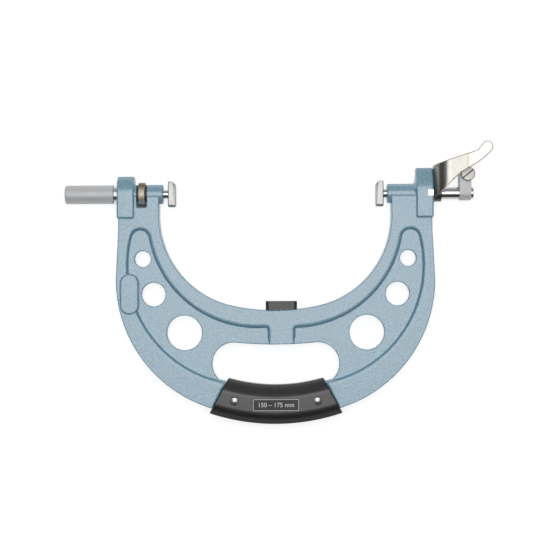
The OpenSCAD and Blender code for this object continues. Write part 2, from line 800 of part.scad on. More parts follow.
module adjusting_screw() {
  color(steel) difference() {
    union() {
      bar(-screw_end_x, -spindle_rear_x - seat_gap, screw_d / 2);
      bar(-screw_end_x, screw_neck_len - spindle_rear_x - seat_gap, screw_neck_d / 2);
    }
    block([-screw_end_x - cut, -screw_d, -driver_slot_w / 2],
          [driver_slot_depth - screw_end_x, screw_d, driver_slot_w / 2]);
    difference() {
      bar(-neck_pin_x - neck_pin_d / 2 - seat_gap, neck_pin_d / 2 + seat_gap - neck_pin_x, screw_d);
      bar(-neck_pin_x - neck_pin_d, neck_pin_d - neck_pin_x, neck_groove_r);
    }
  }
}

module neck_pin() {
  half = sqrt(pow(spindle_d / 2, 2) - pow(neck_pin_y + neck_pin_d / 2, 2));
  color(steel) cross_bar(-neck_pin_x, neck_pin_y, -half, half, neck_pin_d / 2);
}

module adjusting_spindle() {
  key_r = key_pin_d / 2 + run_gap;
  color(steel) difference() {
    bar(-spindle_rear_x, -anvil_back_x, spindle_d / 2);
    bar(-spindle_rear_x - cut, screw_neck_len + seat_gap - spindle_rear_x, screw_neck_d / 2 + run_gap);
    cross_bar(-neck_pin_x, neck_pin_y, -spindle_d, spindle_d, neck_pin_d / 2 + press_gap);
    block([-key_pin_x - gauge_travel - key_r - seat_gap, -key_r, -spindle_d],
          [key_r + seat_gap - key_pin_x, key_r, keyway_depth - spindle_d / 2]);
  }
}

module spindle_key() {
  foot = seat_gap - tube_d / 2;
  tip = keyway_depth - spindle_d / 2 - seat_gap;
  color(steel) cross_bar(-key_pin_x, 0, foot, tip, key_pin_d / 2);
}

// Outline of the right anvil, with its measuring face towards the throat
module anvil_shape() {
  half = anvil_h / 2;
  difference() {
    translate([face_x, -half]) square([anvil_t, anvil_h]);
    translate([face_x, half - lead_in_r]) difference() {
      square(lead_in_r);
      translate([lead_in_r, 0]) circle(lead_in_r);
    }
    translate([face_x, -half]) difference() {
      square(anvil_corner_r);
      translate([anvil_corner_r, anvil_corner_r]) circle(anvil_corner_r);
    }
  }
}

// Right anvil with its tip, chamfered along the lower edges and cut between two places on the axis
module anvil_slice(x0, x1) {
  half = anvil_h / 2;
  intersection() {
    slab(anvil_w / 2) anvil_shape();
    translate([x0, 0, 0]) rotate([90, 0, 90]) linear_extrude(x1 - x0) polygon([
      [-half, anvil_chamfer - anvil_w / 2], [anvil_chamfer - half, -anvil_w / 2], [half, -anvil_w / 2],
      [half, anvil_w / 2], [anvil_chamfer - half, anvil_w / 2], [-half, anvil_w / 2 - anvil_chamfer]
    ]);
  }
}

module reference_anvil() {
  color(steel) mirror([1, 0, 0]) anvil_slice(face_x + tip_t, anvil_back_x);
}

module reference_tip() {
  color(satin) mirror([1, 0, 0]) anvil_slice(face_x, face_x + tip_t);
}

module lock_ring() {
  r = lock_ring_d / 2;
  x0 = -lock_x - lock_ring_w / 2;
  x1 = -lock_x + lock_ring_w / 2;
  color("#b8a58c") difference() {
    union() {
      bar(x0, x0 + lock_ring_chamfer, r - lock_ring_chamfer, r);
      bar(x0 + lock_ring_chamfer, x1 - lock_ring_chamfer, r);
      bar(x1 - lock_ring_chamfer, x1, r, r - lock_ring_chamfer);
    }
    bar(x0 - cut, x1 + cut, collet_d / 2 + run_gap);
  }
}

module lock_collet() {
  half = lock_slot_w / 2 - seat_gap;
  color(steel) difference() {
    bar(-lock_x - half, -lock_x + half, collet_d / 2);
    bar(-lock_x - lock_slot_w, -lock_x + lock_slot_w, spindle_d / 2 + run_gap);
    block([-lock_x - lock_slot_w, 0, -collet_slit / 2], [-lock_x + lock_slot_w, collet_d, collet_slit / 2]);
  }
}

module retracting_spindle() {
  half_w = tongue_w / 2 + seat_gap;
  color(steel) difference() {
    union() {
      bar(anvil_back_x, step_x, spindle_d / 2);
      bar(step_x - cut, tail_end_x, tail_d / 2);
    }
    block([guide_key_x - retract_travel, -half_w, keyway_floor], [boss_end + seat_gap, half_w, tail_d]);
    translate([cross_pin_x, 0, 0]) rotate([90, 0, 0])
      cylinder(h = 2 * tail_d, d = cross_pin_d + 2 * press_gap, center = true);
  }
}

module spring_shoulder() {
  color(steel) difference() {
    bar(shoulder_x, spring_x, stem_d / 2 + press_gap - run_gap);
    bar(shoulder_x - cut, spring_x + cut, spindle_d / 2 + press_gap);
  }
}

// Compression spring: a round wire swept along a helix by rings of points
module return_spring() {
  sides = 8;
  rings = 14 * spring_turns;
  wire_r = spring_wire_d / 2;
  coil_r = spindle_d / 2 + free_gap + wire_r;
  pitch = (spring_len - spring_wire_d) / spring_turns;
  points = [
    for (i = [0:rings], k = [0:sides - 1])
      let (a = 360 * spring_turns * i / rings, b = 360 * k / sides, r = coil_r + wire_r * cos(b))
      [spring_x + wire_r + pitch * a / 360 + wire_r * sin(b), r * cos(a), r * sin(a)]
  ];
  walls = [
    for (i = [0:rings - 1], k = [0:sides - 1])
      let (n = (k + 1) % sides, low = i * sides, high = low + sides)
      [low + k, low + n, high + n, high + k]
  ];
  ends = [[for (k = [sides - 1:-1:0]) k], [for (k = [0:sides - 1]) rings * sides + k]];
  color(steel) polyhedron(points, concat(walls, ends));
}

module retracting_anvil() {
  color(steel) anvil_slice(face_x + tip_t, anvil_back_x);
}

module retracting_tip() {
  color(satin) anvil_slice(face_x, face_x + tip_t);
}

// Key in the boss, whose tongue reaches through the stem tube into the spindle's keyway
module guide_key() {
  half = guide_key_w / 2;
  color("#f0f0ee") difference() {
    block([guide_key_x, -half, keyway_floor + seat_gap], [boss_end, half, boss_half_t]);
    difference() {
      bar(guide_key_x - cut, boss_end + cut, stem_d / 2 + press_gap);
      block([guide_key_x + seat_gap, -tongue_w / 2, 0], [boss_end - seat_gap, tongue_w / 2, stem_d]);
    }
  }
}

module stem_tube() {
  half_slot = cross_pin_d / 2 + seat_gap;
  half_tongue = tongue_w / 2 + seat_gap;
  color(steel) difference() {
    bar(stem_start_x, stem_end_x, stem_d / 2);
    bar(stem_start_x - cut, stem_end_x, tail_d / 2 + run_gap);
    bar(indicator_x, stem_end_x + cut, indicator_d / 2);
    block([guide_key_x, -half_tongue, 0], [boss_end, half_tongue, stem_d]);
    block([cross_pin_x - half_slot, -stem_d, -half_slot],
          [cross_pin_x + retract_travel + half_slot, stem_d, half_slot]);
    block([clamp_end_x - clamp_w - cut, 0, -clamp_slit / 2], [stem_end_x + cut, stem_d, clamp_slit / 2]);
  }
}

module lever_collar() {
  color(black) difference() {
    bar(collar_x, collar_x + collar_w, collar_d / 2);
    bar(collar_x - cut, collar_x + collar_w + cut, stem_d / 2 + run_gap);
    translate([cross_pin_x, 0, 0]) rotate([90, 0, 0])
      cylinder(h = 2 * collar_d, d = cross_pin_d + 2 * press_gap, center = true);
  }
}

module cross_pin() {
  color(steel) translate([cross_pin_x, 0, 0]) rotate([90, 0, 0])
    cylinder(h = collar_d - free_gap, d = cross_pin_d, center = true);
}

// Edge line of the lever's sheet seen along Y: foot, bend, leaf and tilted thumb piece
module lever_section() {
  bend_x = lever_x + lever_bend_r;
  crease_x = lever_x + lever_crease;
  translate([lever_x, 0]) square([lever_t, lever_bend_z]);
  intersection() {
    translate([bend_x, lever_bend_z]) difference() {
      circle(lever_bend_r);
      circle(lever_bend_r - lever_t);
    }
    translate([lever_x, lever_bend_z]) square(lever_bend_r);
  }
  translate([bend_x, leaf_z - lever_t]) square([crease_x - bend_x, lever_t]);
  translate([crease_x, leaf_z - lever_t]) rotate(lever_tilt)
    square([lever_tip_x + 2 * lever_tip_r - lever_crease, lever_t]);
}

// Outline of the lever seen from the front: a leaf that narrows to a round thumb tip
module lever_shape() {
  tip = [lever_x + lever_tip_x, lever_tip_y];
  edge_c = tip - (lever_edge_r - lever_tip_r) * [cos(lever_edge_angle), -sin(lever_edge_angle)];
  translate(tip) circle(lever_tip_r);
  polygon(concat(
    [[lever_x - cut, lever_foot_rise], [lever_x, lever_foot_rise]],
    [[lever_x + lever_neck_x, lever_neck_y]],
    [tip + lever_tip_r * [-cos(lever_neck_angle), sin(lever_neck_angle)], tip],
    arc_points(edge_c, lever_edge_r, -lever_edge_angle, -lever_edge_angle - lever_edge_sweep, 12),
    [[lever_x + lever_waist_x, lever_waist_y], [lever_x, -lever_foot_drop], [lever_x - cut, -lever_foot_drop]]
  ));
}

// Bent sheet lever with an eye round the stem tube, trapped between boss and collar
module lifting_lever() {
  color("#e6e4df") difference() {
    union() {
      intersection() {
        rotate([90, 0, 0]) translate([0, 0, -reach / 2]) linear_extrude(reach) lever_section();
        linear_extrude(reach) lever_shape();
      }
      bar(lever_x, lever_x + lever_t, lever_eye_d / 2);
    }
    bar(lever_x - cut, lever_x + lever_t + cut, stem_d / 2 + lever_eye_gap);
  }
}

// Split clamp on the stem tube, with ears drawn together by the screw
module stem_clamp() {
  x0 = clamp_end_x - clamp_w;
  r = clamp_d / 2;
  color(satin) difference() {
    union() {
      bar(x0, clamp_end_x, r);
      block([x0, 0, -r], [clamp_end_x, clamp_rise, r]);
    }
    bar(x0 - cut, clamp_end_x + cut, stem_d / 2 + press_gap);
    block([x0 - cut, 0, -clamp_slit / 2], [clamp_end_x + cut, clamp_rise + cut, clamp_slit / 2]);
    cross_bar(clamp_screw_x, clamp_screw_rise, -clamp_d, clamp_d, clamp_screw_d / 2 + run_gap);
  }
}

module clamp_screw() {
  seat = clamp_d / 2 + seat_gap;
  color("#cdbfaa") translate([clamp_screw_x, clamp_screw_rise, 0]) difference() {
    union() {
      cross_bar(0, 0, -clamp_d / 2, seat, clamp_screw_d / 2);
      cross_bar(0, 0, seat, seat + clamp_head_t, clamp_head_d / 2);
    }
    translate([0, 0, seat + clamp_head_t]) rotate(clamp_slot_angle)
      cube([2 * clamp_head_d, clamp_slot_w, 2 * clamp_slot_depth], center = true);
  }
}

// Stop block, hollowed to the throat's curve and bevelled at both ends
module work_stop() {
  half = stop_len / 2;
  half_w = stop_w / 2;
  color(black) intersection() {
    translate([stop_x, stop_floor_y + stop_h, 0]) rotate([90, 0, 0]) linear_extrude(2 * stop_h) polygon([
      [-half, half_w - stop_bevel], [stop_bevel - half, half_w],
      [half - stop_bevel, half_w], [half, half_w - stop_bevel],
      [half, stop_bevel - half_w], [half - stop_bevel, -half_w],
      [stop_bevel - half, -half_w], [-half, stop_bevel - half_w]
    ]);
    difference() {
      cross_bar(0, throat_bottom_y, -stop_w, stop_w, throat_bottom_r - seat_gap);
      stop_bar(throat_depth - stop_h / 2, throat_depth + post_depth, post_d / 2 + press_gap);
    }
  }
}

// Post screwed into the block, sliding in the frame's bore
module stop_post() {
  color(steel) stop_bar(throat_depth - stop_h / 2, throat_depth + post_depth - free_gap, post_d / 2);
}

module stop_set_screw() {
  y = -throat_depth - set_screw_depth;
  color(steel) difference() {
    cross_bar(stop_x, y, seat_gap - rim_half_t, -post_d / 2 - seat_gap, set_screw_d / 2);
    translate([stop_x, y, -rim_half_t]) cylinder(h = set_screw_hex, d = set_screw_hex, $fn = 6);
  }
}

in_gauge_frame() frame();
in_gauge_frame() grip_front();
in_gauge_frame() grip_back();
in_gauge_frame() grip_rivets();
in_gauge_frame() range_plate();
in_gauge_frame() spindle_cap();
in_gauge_frame() screw_bush();
in_gauge_frame() on_reference() adjusting_screw();
in_gauge_frame() on_reference() neck_pin();
in_gauge_frame() on_reference() adjusting_spindle();
in_gauge_frame() spindle_key();
in_gauge_frame() on_reference() reference_anvil();
in_gauge_frame() on_reference() reference_tip();
in_gauge_frame() lock_ring();
in_gauge_frame() lock_collet();
in_gauge_frame() retracting_spindle();
in_gauge_frame() spring_shoulder();
in_gauge_frame() return_spring();
in_gauge_frame() retracting_anvil();
in_gauge_frame() retracting_tip();
in_gauge_frame() guide_key();
in_gauge_frame() stem_tube();
in_gauge_frame() lever_collar();
in_gauge_frame() cross_pin();
in_gauge_frame() lifting_lever();
in_gauge_frame() stem_clamp();
in_gauge_frame() clamp_screw();
in_gauge_frame() work_stop();
in_gauge_frame() stop_post();
in_gauge_frame() stop_set_screw();
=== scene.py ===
"""Looks of the snap gauge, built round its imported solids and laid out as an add-on."""

import math

import bmesh
import bpy
import numpy as np
from bpy.props import FloatProperty, FloatVectorProperty, PointerProperty, StringProperty
from mathutils import Matrix, Vector
from mathutils.geometry import tessellate_polygon


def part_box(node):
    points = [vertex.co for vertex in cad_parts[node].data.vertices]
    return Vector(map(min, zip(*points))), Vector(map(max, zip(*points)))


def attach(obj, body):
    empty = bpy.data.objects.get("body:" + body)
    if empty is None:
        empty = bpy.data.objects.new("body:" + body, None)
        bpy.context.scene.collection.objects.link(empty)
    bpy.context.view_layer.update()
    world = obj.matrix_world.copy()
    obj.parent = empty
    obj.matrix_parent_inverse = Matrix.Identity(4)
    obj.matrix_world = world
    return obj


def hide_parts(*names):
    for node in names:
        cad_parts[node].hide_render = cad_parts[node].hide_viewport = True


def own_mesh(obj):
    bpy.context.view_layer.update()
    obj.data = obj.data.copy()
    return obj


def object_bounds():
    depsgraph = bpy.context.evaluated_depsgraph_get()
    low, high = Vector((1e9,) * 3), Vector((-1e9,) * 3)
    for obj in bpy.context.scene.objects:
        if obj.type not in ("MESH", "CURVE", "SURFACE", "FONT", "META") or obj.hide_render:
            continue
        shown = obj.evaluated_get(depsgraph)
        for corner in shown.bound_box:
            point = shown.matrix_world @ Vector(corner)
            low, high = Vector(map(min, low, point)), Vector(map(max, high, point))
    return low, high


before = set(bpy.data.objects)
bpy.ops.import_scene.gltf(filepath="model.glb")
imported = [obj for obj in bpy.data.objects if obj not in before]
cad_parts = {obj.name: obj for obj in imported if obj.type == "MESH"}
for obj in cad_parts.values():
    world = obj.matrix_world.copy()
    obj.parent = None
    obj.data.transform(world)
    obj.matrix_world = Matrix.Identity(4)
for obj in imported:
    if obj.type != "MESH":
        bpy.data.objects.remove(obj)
CAD_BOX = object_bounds()

bl_info = {
    "name": "Snap gauge",
    "version": (1, 0, 0),
    "blender": (4, 5, 0),
    "location": "View3D > Sidebar > Gauge",
    "description": "Builds the looks of a snap gauge round its solids",
    "category": "Object",
}

# Lengths below are in millimetres, about the gauge's middle plane and measuring axis.
MIDDLE = np.array([86.5, 0.0, 0.0])

# Half thicknesses of the rim, the web and the bosses
RIM_Z, WEB_Z, BOSS_Z = 8.0, 4.0, 11.5
# Throat: half its width, then the arcs at its sides and at its bottom
THROAT_X, THROAT_SIDE, THROAT_R = 101.0, (20.3, -18.475), 80.7
BOTTOM_Y, BOTTOM_R = 69.0, 170.5
# Outside: the arm's straight side and its foot, the side's arc and the handle's arc
ARM_X, ARM_STRAIGHT, OUTER_SIDE, OUTER_R = 136.3, -32.0, (21.6, -74.477), 117.0
HANDLE_Y, HANDLE_R = -18.5, 177.0
# Web's recess: inner arc, outer arc and round end, with the slope of its walls in degrees
WEB_INNER, WEB_INNER_R = (15.8, -20.975), 94.4
WEB_OUTER, WEB_OUTER_R, WEB_END_R = (24.9, -62.077), 104.2, 8.8
WALL_SLOPE = 14
# Hand hole: round ends, flat arc above and the bar's arc below
HAND_END, HAND_END_R = (36.7, -148.0), 18.6
HAND_TOP_Y, HAND_TOP_R, BAR_INNER_R = 225.8, 357.0, 153.2
# Round holes in the web: diameter, angle down the throat's side arc, and distance from it
HOLES = np.array([[14.0, 21.7, 21.8], [20.7, 38.7, 29.4], [30.4, 60.0, 37.5]])
# Work stop's middle, and the pad behind it
STOP_X, PAD_HALF, PAD_FILLET = 5.0, 10.7, 3.0
# Oval pad: middle, half the straight side, radius and height
OVAL, OVAL_HALF, OVAL_R, OVAL_Z = (-127.0, -87.0), 9.5, 8.2, 9.2
# Bosses: inner end, outer end and foot, then the rise above the axis and the radius of the faces there
BOSS_IN, BOSS_END, BOSS_FOOT = 122.3, 137.3, -21.4
LEFT_BOSS, RIGHT_BOSS = (15.5, 18.0), (22.2, 30.0)
# Spindle tubes, the flare from the right tube to its boss, and the level at which the arms stop under the bores
TUBE_END, TUBE_R, BORE_R, FLARE = 97.5, 8.5, 4.05, 3.6
UNDER_BORE = -6.7
# Lock ring: middle, half width, radius, bore, and its knurl's depth and count, then the width and foot of its slot
LOCK_X, RING_HALF, RING_R, RING_BORE_R, KNURL, KNURL_COUNT = -115.9, 2.9, 10.25, 6.53, 0.05, 60
LOCK_SLOT, LOCK_FOOT = 8.8, -11.8
# Grip: top corner and slant of its ends, inner, outer and flat's radii, edge heights, and the radii of its hollow bevel
GRIP_TOP, GRIP_ANGLE = (41.3, -160.3), 28.8
GRIP_IN_R, GRIP_OUT_R, FLAT_IN_R, FLAT_OUT_R = 147.7, 181.7, 156.2, 174.6
GRIP_IN_Z, GRIP_OUT_Z, COVE_R, COVE_EASE = 4.5, 6.2, 13.0, 7.5
# Rivets: angle either side of the middle, distance from the handle's centre, head's radius and dome, and the sink
RIVET_ANGLE, RIVET_AWAY, RIVET_R, DOME_R = 12.6, 165.1, 3.0, 8.0
SINK_R, SINK_Z = 3.8, 8.0
# Plate: middle, half its sides, its top and the bottom of its recess
PLATE_Y, PLATE_HALF, PLATE_Z, PLATE_BED = -183.2, (20.2, 5.4), 11.8, 10.6
# Anvils: measuring face, joint of the tip, back, half height, half thickness and the start of the chamfer
TIP_X, TIP_JOINT, ANVIL_BACK, ANVIL_HALF, ANVIL_Z, CHAMFER_Z = 87.5, 88.9, 94.3, 11.2, 5.0, 3.2
WOUND_IN = 1.0
# Spindles, and the bush with the start of its thread
SPINDLE_R, TAIL_R = 3.99, 2.95
BUSH_END, BUSH_R, NUT_END = -124.3, 6.5, -147.0
# Stem tube's start and bore, and the spring in the room before it: length, turns, wire's radius and stroke
SPRING_ROOM, STEM_START, STEM_R, STEM_BORE_R = 112.0, 126.0, 5.4, 5.42
SPRING_LENGTH, SPRING_TURNS, SPRING_WIRE, SPRING_STROKE = 11.5, 5, 0.4, 2.0
# Guide key: middle, half its sides and its foot
KEY_X, KEY_HALF, KEY_FOOT = 134.675, (2.575, 2.85), 5.5
# Lever: place and height of its foot, bend's radius, length past the bend, thickness of the sheet
LEVER_X, LEVER_FOOT, LEVER_BEND, LEVER_LEAF, LEVER_SHEET = 137.4, 7.5, 14.5, 34.3, 0.9
# Lever's fold: place, slope past it in degrees, and the depth and width of the pressed line
LEVER_FOLD, FOLD_SLOPE, PRESSED, PRESSED_WIDTH = 29.0, 5, 0.09, 1.2
# Lever's eye and the collar behind it: start, end, radius and bore
EYE, COLLAR = (LEVER_X, LEVER_X + LEVER_SHEET, 9.0, 6.3), (138.4, 144.7, 7.25, 5.45)
# Clamp: radius of its band, slit, top, half width and middle, then the place of its screw and the turn of its slot
CLAMP_R, CLAMP_SLIT, CLAMP_TOP, CLAMP_HALF, CLAMP_X = 6.3, 0.5, 21.0, 5.1, 165.4
BOLT, BOLT_TURN = (167.3, 16.4, 0.0), 38
# Cap: the outside and inside of its closed end
CAP_END, CAP_FLOOR = -182.8, -180.2
# Turned profiles: distance along the axis, radius and the corner's own radius
CAP = [
    (CAP_END, 0.5, 0.05), (CAP_END, 8.1, 1.4), (-140.6, 8.1, 0.5),
    (-140.6, 6.05, 0.2), (CAP_FLOOR, 6.05, 0.5), (CAP_FLOOR, 0.5, 0.05),
]
BUSH = [
    (-155, 3.05, 0.05), (-155, 5.9, 0.4), (-140.5, 5.9, 0.1), (-140.5, 7.5, 0.5),
    (-137.3, 7.5, 0.1), (-137.3, BUSH_R, 0.1), (BUSH_END, BUSH_R, 0.3),
    (BUSH_END, BORE_R, 0.05), (NUT_END, BORE_R, 0.05), (NUT_END, 3.05, 0.05),
]
STEM = [
    (STEM_START, 3.05, 0.05), (152.4, 3.05, 0.05), (152.4, 4.02, 0.05),
    (172.6, 4.02, 0.3), (172.6, STEM_R, 0.4), (STEM_START, STEM_R, 0.2),
]

# The stage, in metres: floor, softbox over the gauge, and the camera
FLOOR_HALF, FLOOR_GREY = 15.0, 0.6
SOFTBOX_SIDE, SOFTBOX_POWER, SOFTBOX_PLACE = 1.2, 10.0, (0.09, 0.1, 1.5)
CAMERA_PLACE, CAMERA_ROLL, CAMERA_LENS = (0.0904, -0.0751, 1.1), -0.25, 81.0


# Curves and surfaces


def arc(centre, radius, start, stop, count):
    """Points at the centre plus the radius times (cos a, sin a), for angles a evenly from start to stop in degrees."""
    a = np.radians(np.linspace(start, stop, count))
    return np.c_[centre[0] + radius * np.cos(a), centre[1] + radius * np.sin(a)]


def angle_to(a, b):
    """Direction from point a to point b in degrees, from 0 to 360."""
    return math.degrees(math.atan2(b[1] - a[1], b[0] - a[0])) % 360


def mirrored(path):
    """The path seen in a mirror on the middle plane: x changes its sign and the order is turned round."""
    return path[::-1] * [-1, 1]


def soften(corners, radii, count=7):
    """Closed line with round corners. A corner with unit directions u and v to its neighbours gets an arc about the
    point on their bisector at radius / sin(half angle), swept evenly between the places where it meets the sides."""
    p = np.asarray(corners, float)
    r = np.broadcast_to(np.maximum(np.asarray(radii, float), 1e-5), len(p))[:, None]
    u, v = np.roll(p, 1, 0) - p, np.roll(p, -1, 0) - p
    u, v = (side / np.linalg.norm(side, axis=1, keepdims=True) for side in (u, v))
    half = np.arccos(np.clip((u * v).sum(1, keepdims=True), -1, 1)) / 2
    middle = u + v
    centre = p + middle / np.linalg.norm(middle, axis=1, keepdims=True) * r / np.sin(half)
    reach = r / np.tan(half)
    a, b, turn = p + reach * u - centre, p + reach * v - centre, math.pi - 2 * half
    s = np.linspace(0, 1, count)[None, :, None]
    turn = turn[:, None]
    arcs = (np.sin((1 - s) * turn) * a[:, None] + np.sin(s * turn) * b[:, None]) / np.sin(turn)
    return (centre[:, None] + arcs).reshape(-1, p.shape[1])


def inward(loop):
    """Offset direction at each point of a closed line: the sum of the two sides' unit normals over one plus their
    product, turned to the inside."""
    step = np.roll(loop, -1, 0) - loop
    step = step / np.linalg.norm(step, axis=1, keepdims=True)
    normal = np.c_[-step[:, 1], step[:, 0]]
    before = np.roll(normal, 1, 0)
    offset = (normal + before) / (1 + (normal * before).sum(1, keepdims=True))
    x, y = loop.T
    area = (x * np.roll(y, -1) - y * np.roll(x, -1)).sum()
    return offset * np.sign(area)


def tidy_line(loop, least=0.02):
    """The closed line without points that lie closer than the least distance to the one before."""
    gap = np.linalg.norm(loop - np.roll(loop, 1, 0), axis=1)
    return loop[gap > least]


def edge_rings(half, radius, count=5):
    """Insets and heights of the rings of a slab with quarter-round edges: inset r (1 - sin a) at height
    h - r (1 - cos a), for a from 0 to 90 degrees, and the same mirrored below."""
    a = np.linspace(0, math.pi / 2, count)
    top = np.c_[radius * (1 - np.sin(a)), half - radius * (1 - np.cos(a))]
    return np.r_[top, top[::-1] * [1, -1]]


def quads(rows, columns, wrap_rows=False, wrap_columns=True):
    """Corner numbers of the faces between neighbouring points of a grid of rows and columns."""
    i = np.arange(rows if wrap_rows else rows - 1)[:, None]
    j = np.arange(columns if wrap_columns else columns - 1)[None, :]
    k, m = (i + 1) % rows, (j + 1) % columns
    corners = [i * columns + j, i * columns + m, k * columns + m, k * columns + j]
    return np.stack(np.broadcast_arrays(*corners), -1).reshape(-1, 4).tolist()


def skin(grid, wrap_rows=False, wrap_columns=True, caps=True):
    """Shell over a grid of points, with flat faces over its first and last row unless the rows wrap."""
    rows, columns = grid.shape[:2]
    faces = quads(rows, columns, wrap_rows, wrap_columns)
    if caps and not wrap_rows:
        faces += [list(range(columns)), list(range((rows - 1) * columns, rows * columns))]
    return grid.reshape(-1, 3), faces


def ring_grid(line, rings, axes=(0, 1, 2), way=1):
    """Rings of points: ring k is the line moved inwards by way times its inset, at its height. axes says which of x, y
    and z the line's two coordinates and the height are."""
    rings = np.asarray(rings, float)
    flat = line[None] + way * rings[:, 0, None, None] * inward(line)[None]
    return raised(flat, rings[:, 1], axes)


def raised(flat, height, axes=(0, 1, 2)):
    """Rows of plane points, each row at its own height."""
    grid = np.zeros(flat.shape[:2] + (3,))
    grid[..., axes[0]], grid[..., axes[1]] = flat[..., 0], flat[..., 1]
    grid[..., axes[2]] = np.asarray(height, float)[:, None]
    return grid


def prism(loop, rings, axes=(0, 1, 2)):
    """Slab with the given outline and rings of insets and heights, closed by its first and last ring."""
    return skin(ring_grid(tidy_line(np.asarray(loop, float)), rings, axes))


def turned(profile, closed=True, count=96, centre=(0.0, 0.0, 0.0), axes=(0, 1, 2)):
    """Turned shape: each point (along, radius) of the profile is carried round the axis, to
    (along, radius cos a, radius sin a)."""
    profile = np.asarray(profile, float)
    a = np.linspace(0, 2 * math.pi, count, endpoint=False)
    grid = np.zeros((len(profile), count, 3))
    grid[..., axes[0]] = profile[:, :1]
    grid[..., axes[1]] = profile[:, 1:] * np.cos(a)
    grid[..., axes[2]] = profile[:, 1:] * np.sin(a)
    return skin(grid + np.asarray(centre), wrap_rows=closed, caps=not closed)


def ring_profile(x0, x1, outer, inner, edge=0.3, count=4):
    """Closed profile of a ring or tube from x0 to x1, with round outer edges and a plain bore."""
    corners = [[x0, inner], [x1, inner], [x1, outer], [x0, outer]]
    return soften(corners, [0.1, 0.1, edge, edge], count)


def rounded(table, count):
    """Closed profile from rows of distance along the axis, radius and the corner's own radius."""
    table = np.array(table, float)
    return soften(table[:, :2], table[:, 2], count)


def pierced_slab(outline, holes, outer_rings, hole_rings, axes=(0, 1, 2)):
    """Slab with holes: walls round the outline and in each hole, and faces over the outline less the holes at the
    first and the last ring. A ring lies inside the outline, or outside a hole, by its inset."""
    points, faces, start, caps = [], [], 0, ([], [])
    for way, line, rings in [(1, outline, outer_rings)] + [(-1, hole, hole_rings) for hole in holes]:
        grid = ring_grid(line, rings, axes, way)
        rows, columns = grid.shape[:2]
        points.append(grid.reshape(-1, 3))
        faces += (np.array(quads(rows, columns)) + start).tolist()
        for cap, row in zip(caps, (0, rows - 1)):
            cap.append((grid[row][:, axes[:2]], np.arange(columns) + start + row * columns))
        start += rows * columns
    for cap in caps:
        number = np.concatenate([numbers for _, numbers in cap])
        loops = [[Vector((*spot, 0.0)) for spot in line.tolist()] for line, _ in cap]
        faces += number[np.array(tessellate_polygon(loops))].tolist()
    return np.concatenate(points), faces


def joined(name, shells, weld=0.0):
    """One mesh from closed shells of points and faces, with doubles within the weld's distance merged and all normals
    turned outwards."""
    bm = bmesh.new()
    for points, faces in shells:
        part = bpy.data.meshes.new("part")
        part.from_pydata(((points + MIDDLE) / 1000).tolist(), [], faces)
        first_vert, first_face = len(bm.verts), len(bm.faces)
        bm.from_mesh(part)
        bpy.data.meshes.remove(part)
        if weld:
            bm.verts.ensure_lookup_table()
            bmesh.ops.remove_doubles(bm, verts=bm.verts[first_vert:], dist=weld)
        bm.faces.ensure_lookup_table()
        bmesh.ops.recalc_face_normals(bm, faces=bm.faces[first_face:])
    mesh = bpy.data.meshes.new(name)
    bm.to_mesh(mesh)
    bm.free()
    return mesh


def build(name, shells, body, nodes, finish, sharp=38, weld=1e-5):
    """One object from closed shells, smooth except at edges sharper than the given angle. It replaces its solids and
    rides on their body."""
    piece = bpy.data.objects.new(name, joined(name, shells, weld))
    bpy.context.scene.collection.objects.link(piece)
    finish_shading(piece, sharp)
    piece.data.materials.append(finish)
    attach(piece, body)
    if nodes:
        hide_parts(*nodes)
    return piece


def finish_shading(piece, sharp):
    """Smooth shading that breaks at edges sharper than the given angle, with normals led by the larger faces."""
    piece.data.shade_smooth()
    piece.data.set_sharp_from_angle(angle=math.radians(sharp))
    led = piece.modifiers.new("Led normals", "WEIGHTED_NORMAL")
    led.keep_sharp = True
    led.weight = 60


def carve(piece, cutters, sharp, ground=None):
    """Cuts closed shells out of a piece, and keeps the result as the piece's own mesh. The cut faces take the ground
    finish where one is given."""
    mesh = joined("cutter", cutters)
    if ground:
        mesh.materials.append(ground)
    cutter = bpy.data.objects.new("cutter", mesh)
    bpy.context.scene.collection.objects.link(cutter)
    piece.modifiers.clear()
    cut = piece.modifiers.new("Cut", "BOOLEAN")
    cut.operation, cut.solver, cut.object = "DIFFERENCE", "EXACT", cutter
    cut.material_mode = "TRANSFER" if ground else "INDEX"
    done = piece.evaluated_get(bpy.context.evaluated_depsgraph_get())
    result = bpy.data.meshes.new_from_object(done)
    piece.modifiers.clear()
    old = piece.data
    piece.data = result
    bpy.data.meshes.remove(old)
    bpy.data.objects.remove(cutter)
    bpy.data.meshes.remove(mesh)
    finish_shading(piece, sharp)


# Finishes


class Value:
    """A socket in a shader expression. Its operators add Math nodes."""

    def __init__(self, finish, socket):
        self.finish, self.socket = finish, socket

    def _math(self, operation, a, b):
        return self.finish.node("Math", {"operation": operation}, {0: a, 1: b})

    def __add__(self, other):
        return self._math("ADD", self, other)

    __radd__ = __add__

    def __sub__(self, other):
        return self._math("SUBTRACT", self, other)

    def __rsub__(self, other):
        return self._math("SUBTRACT", other, self)

    def __mul__(self, other):
        return self._math("MULTIPLY", self, other)

    __rmul__ = __mul__


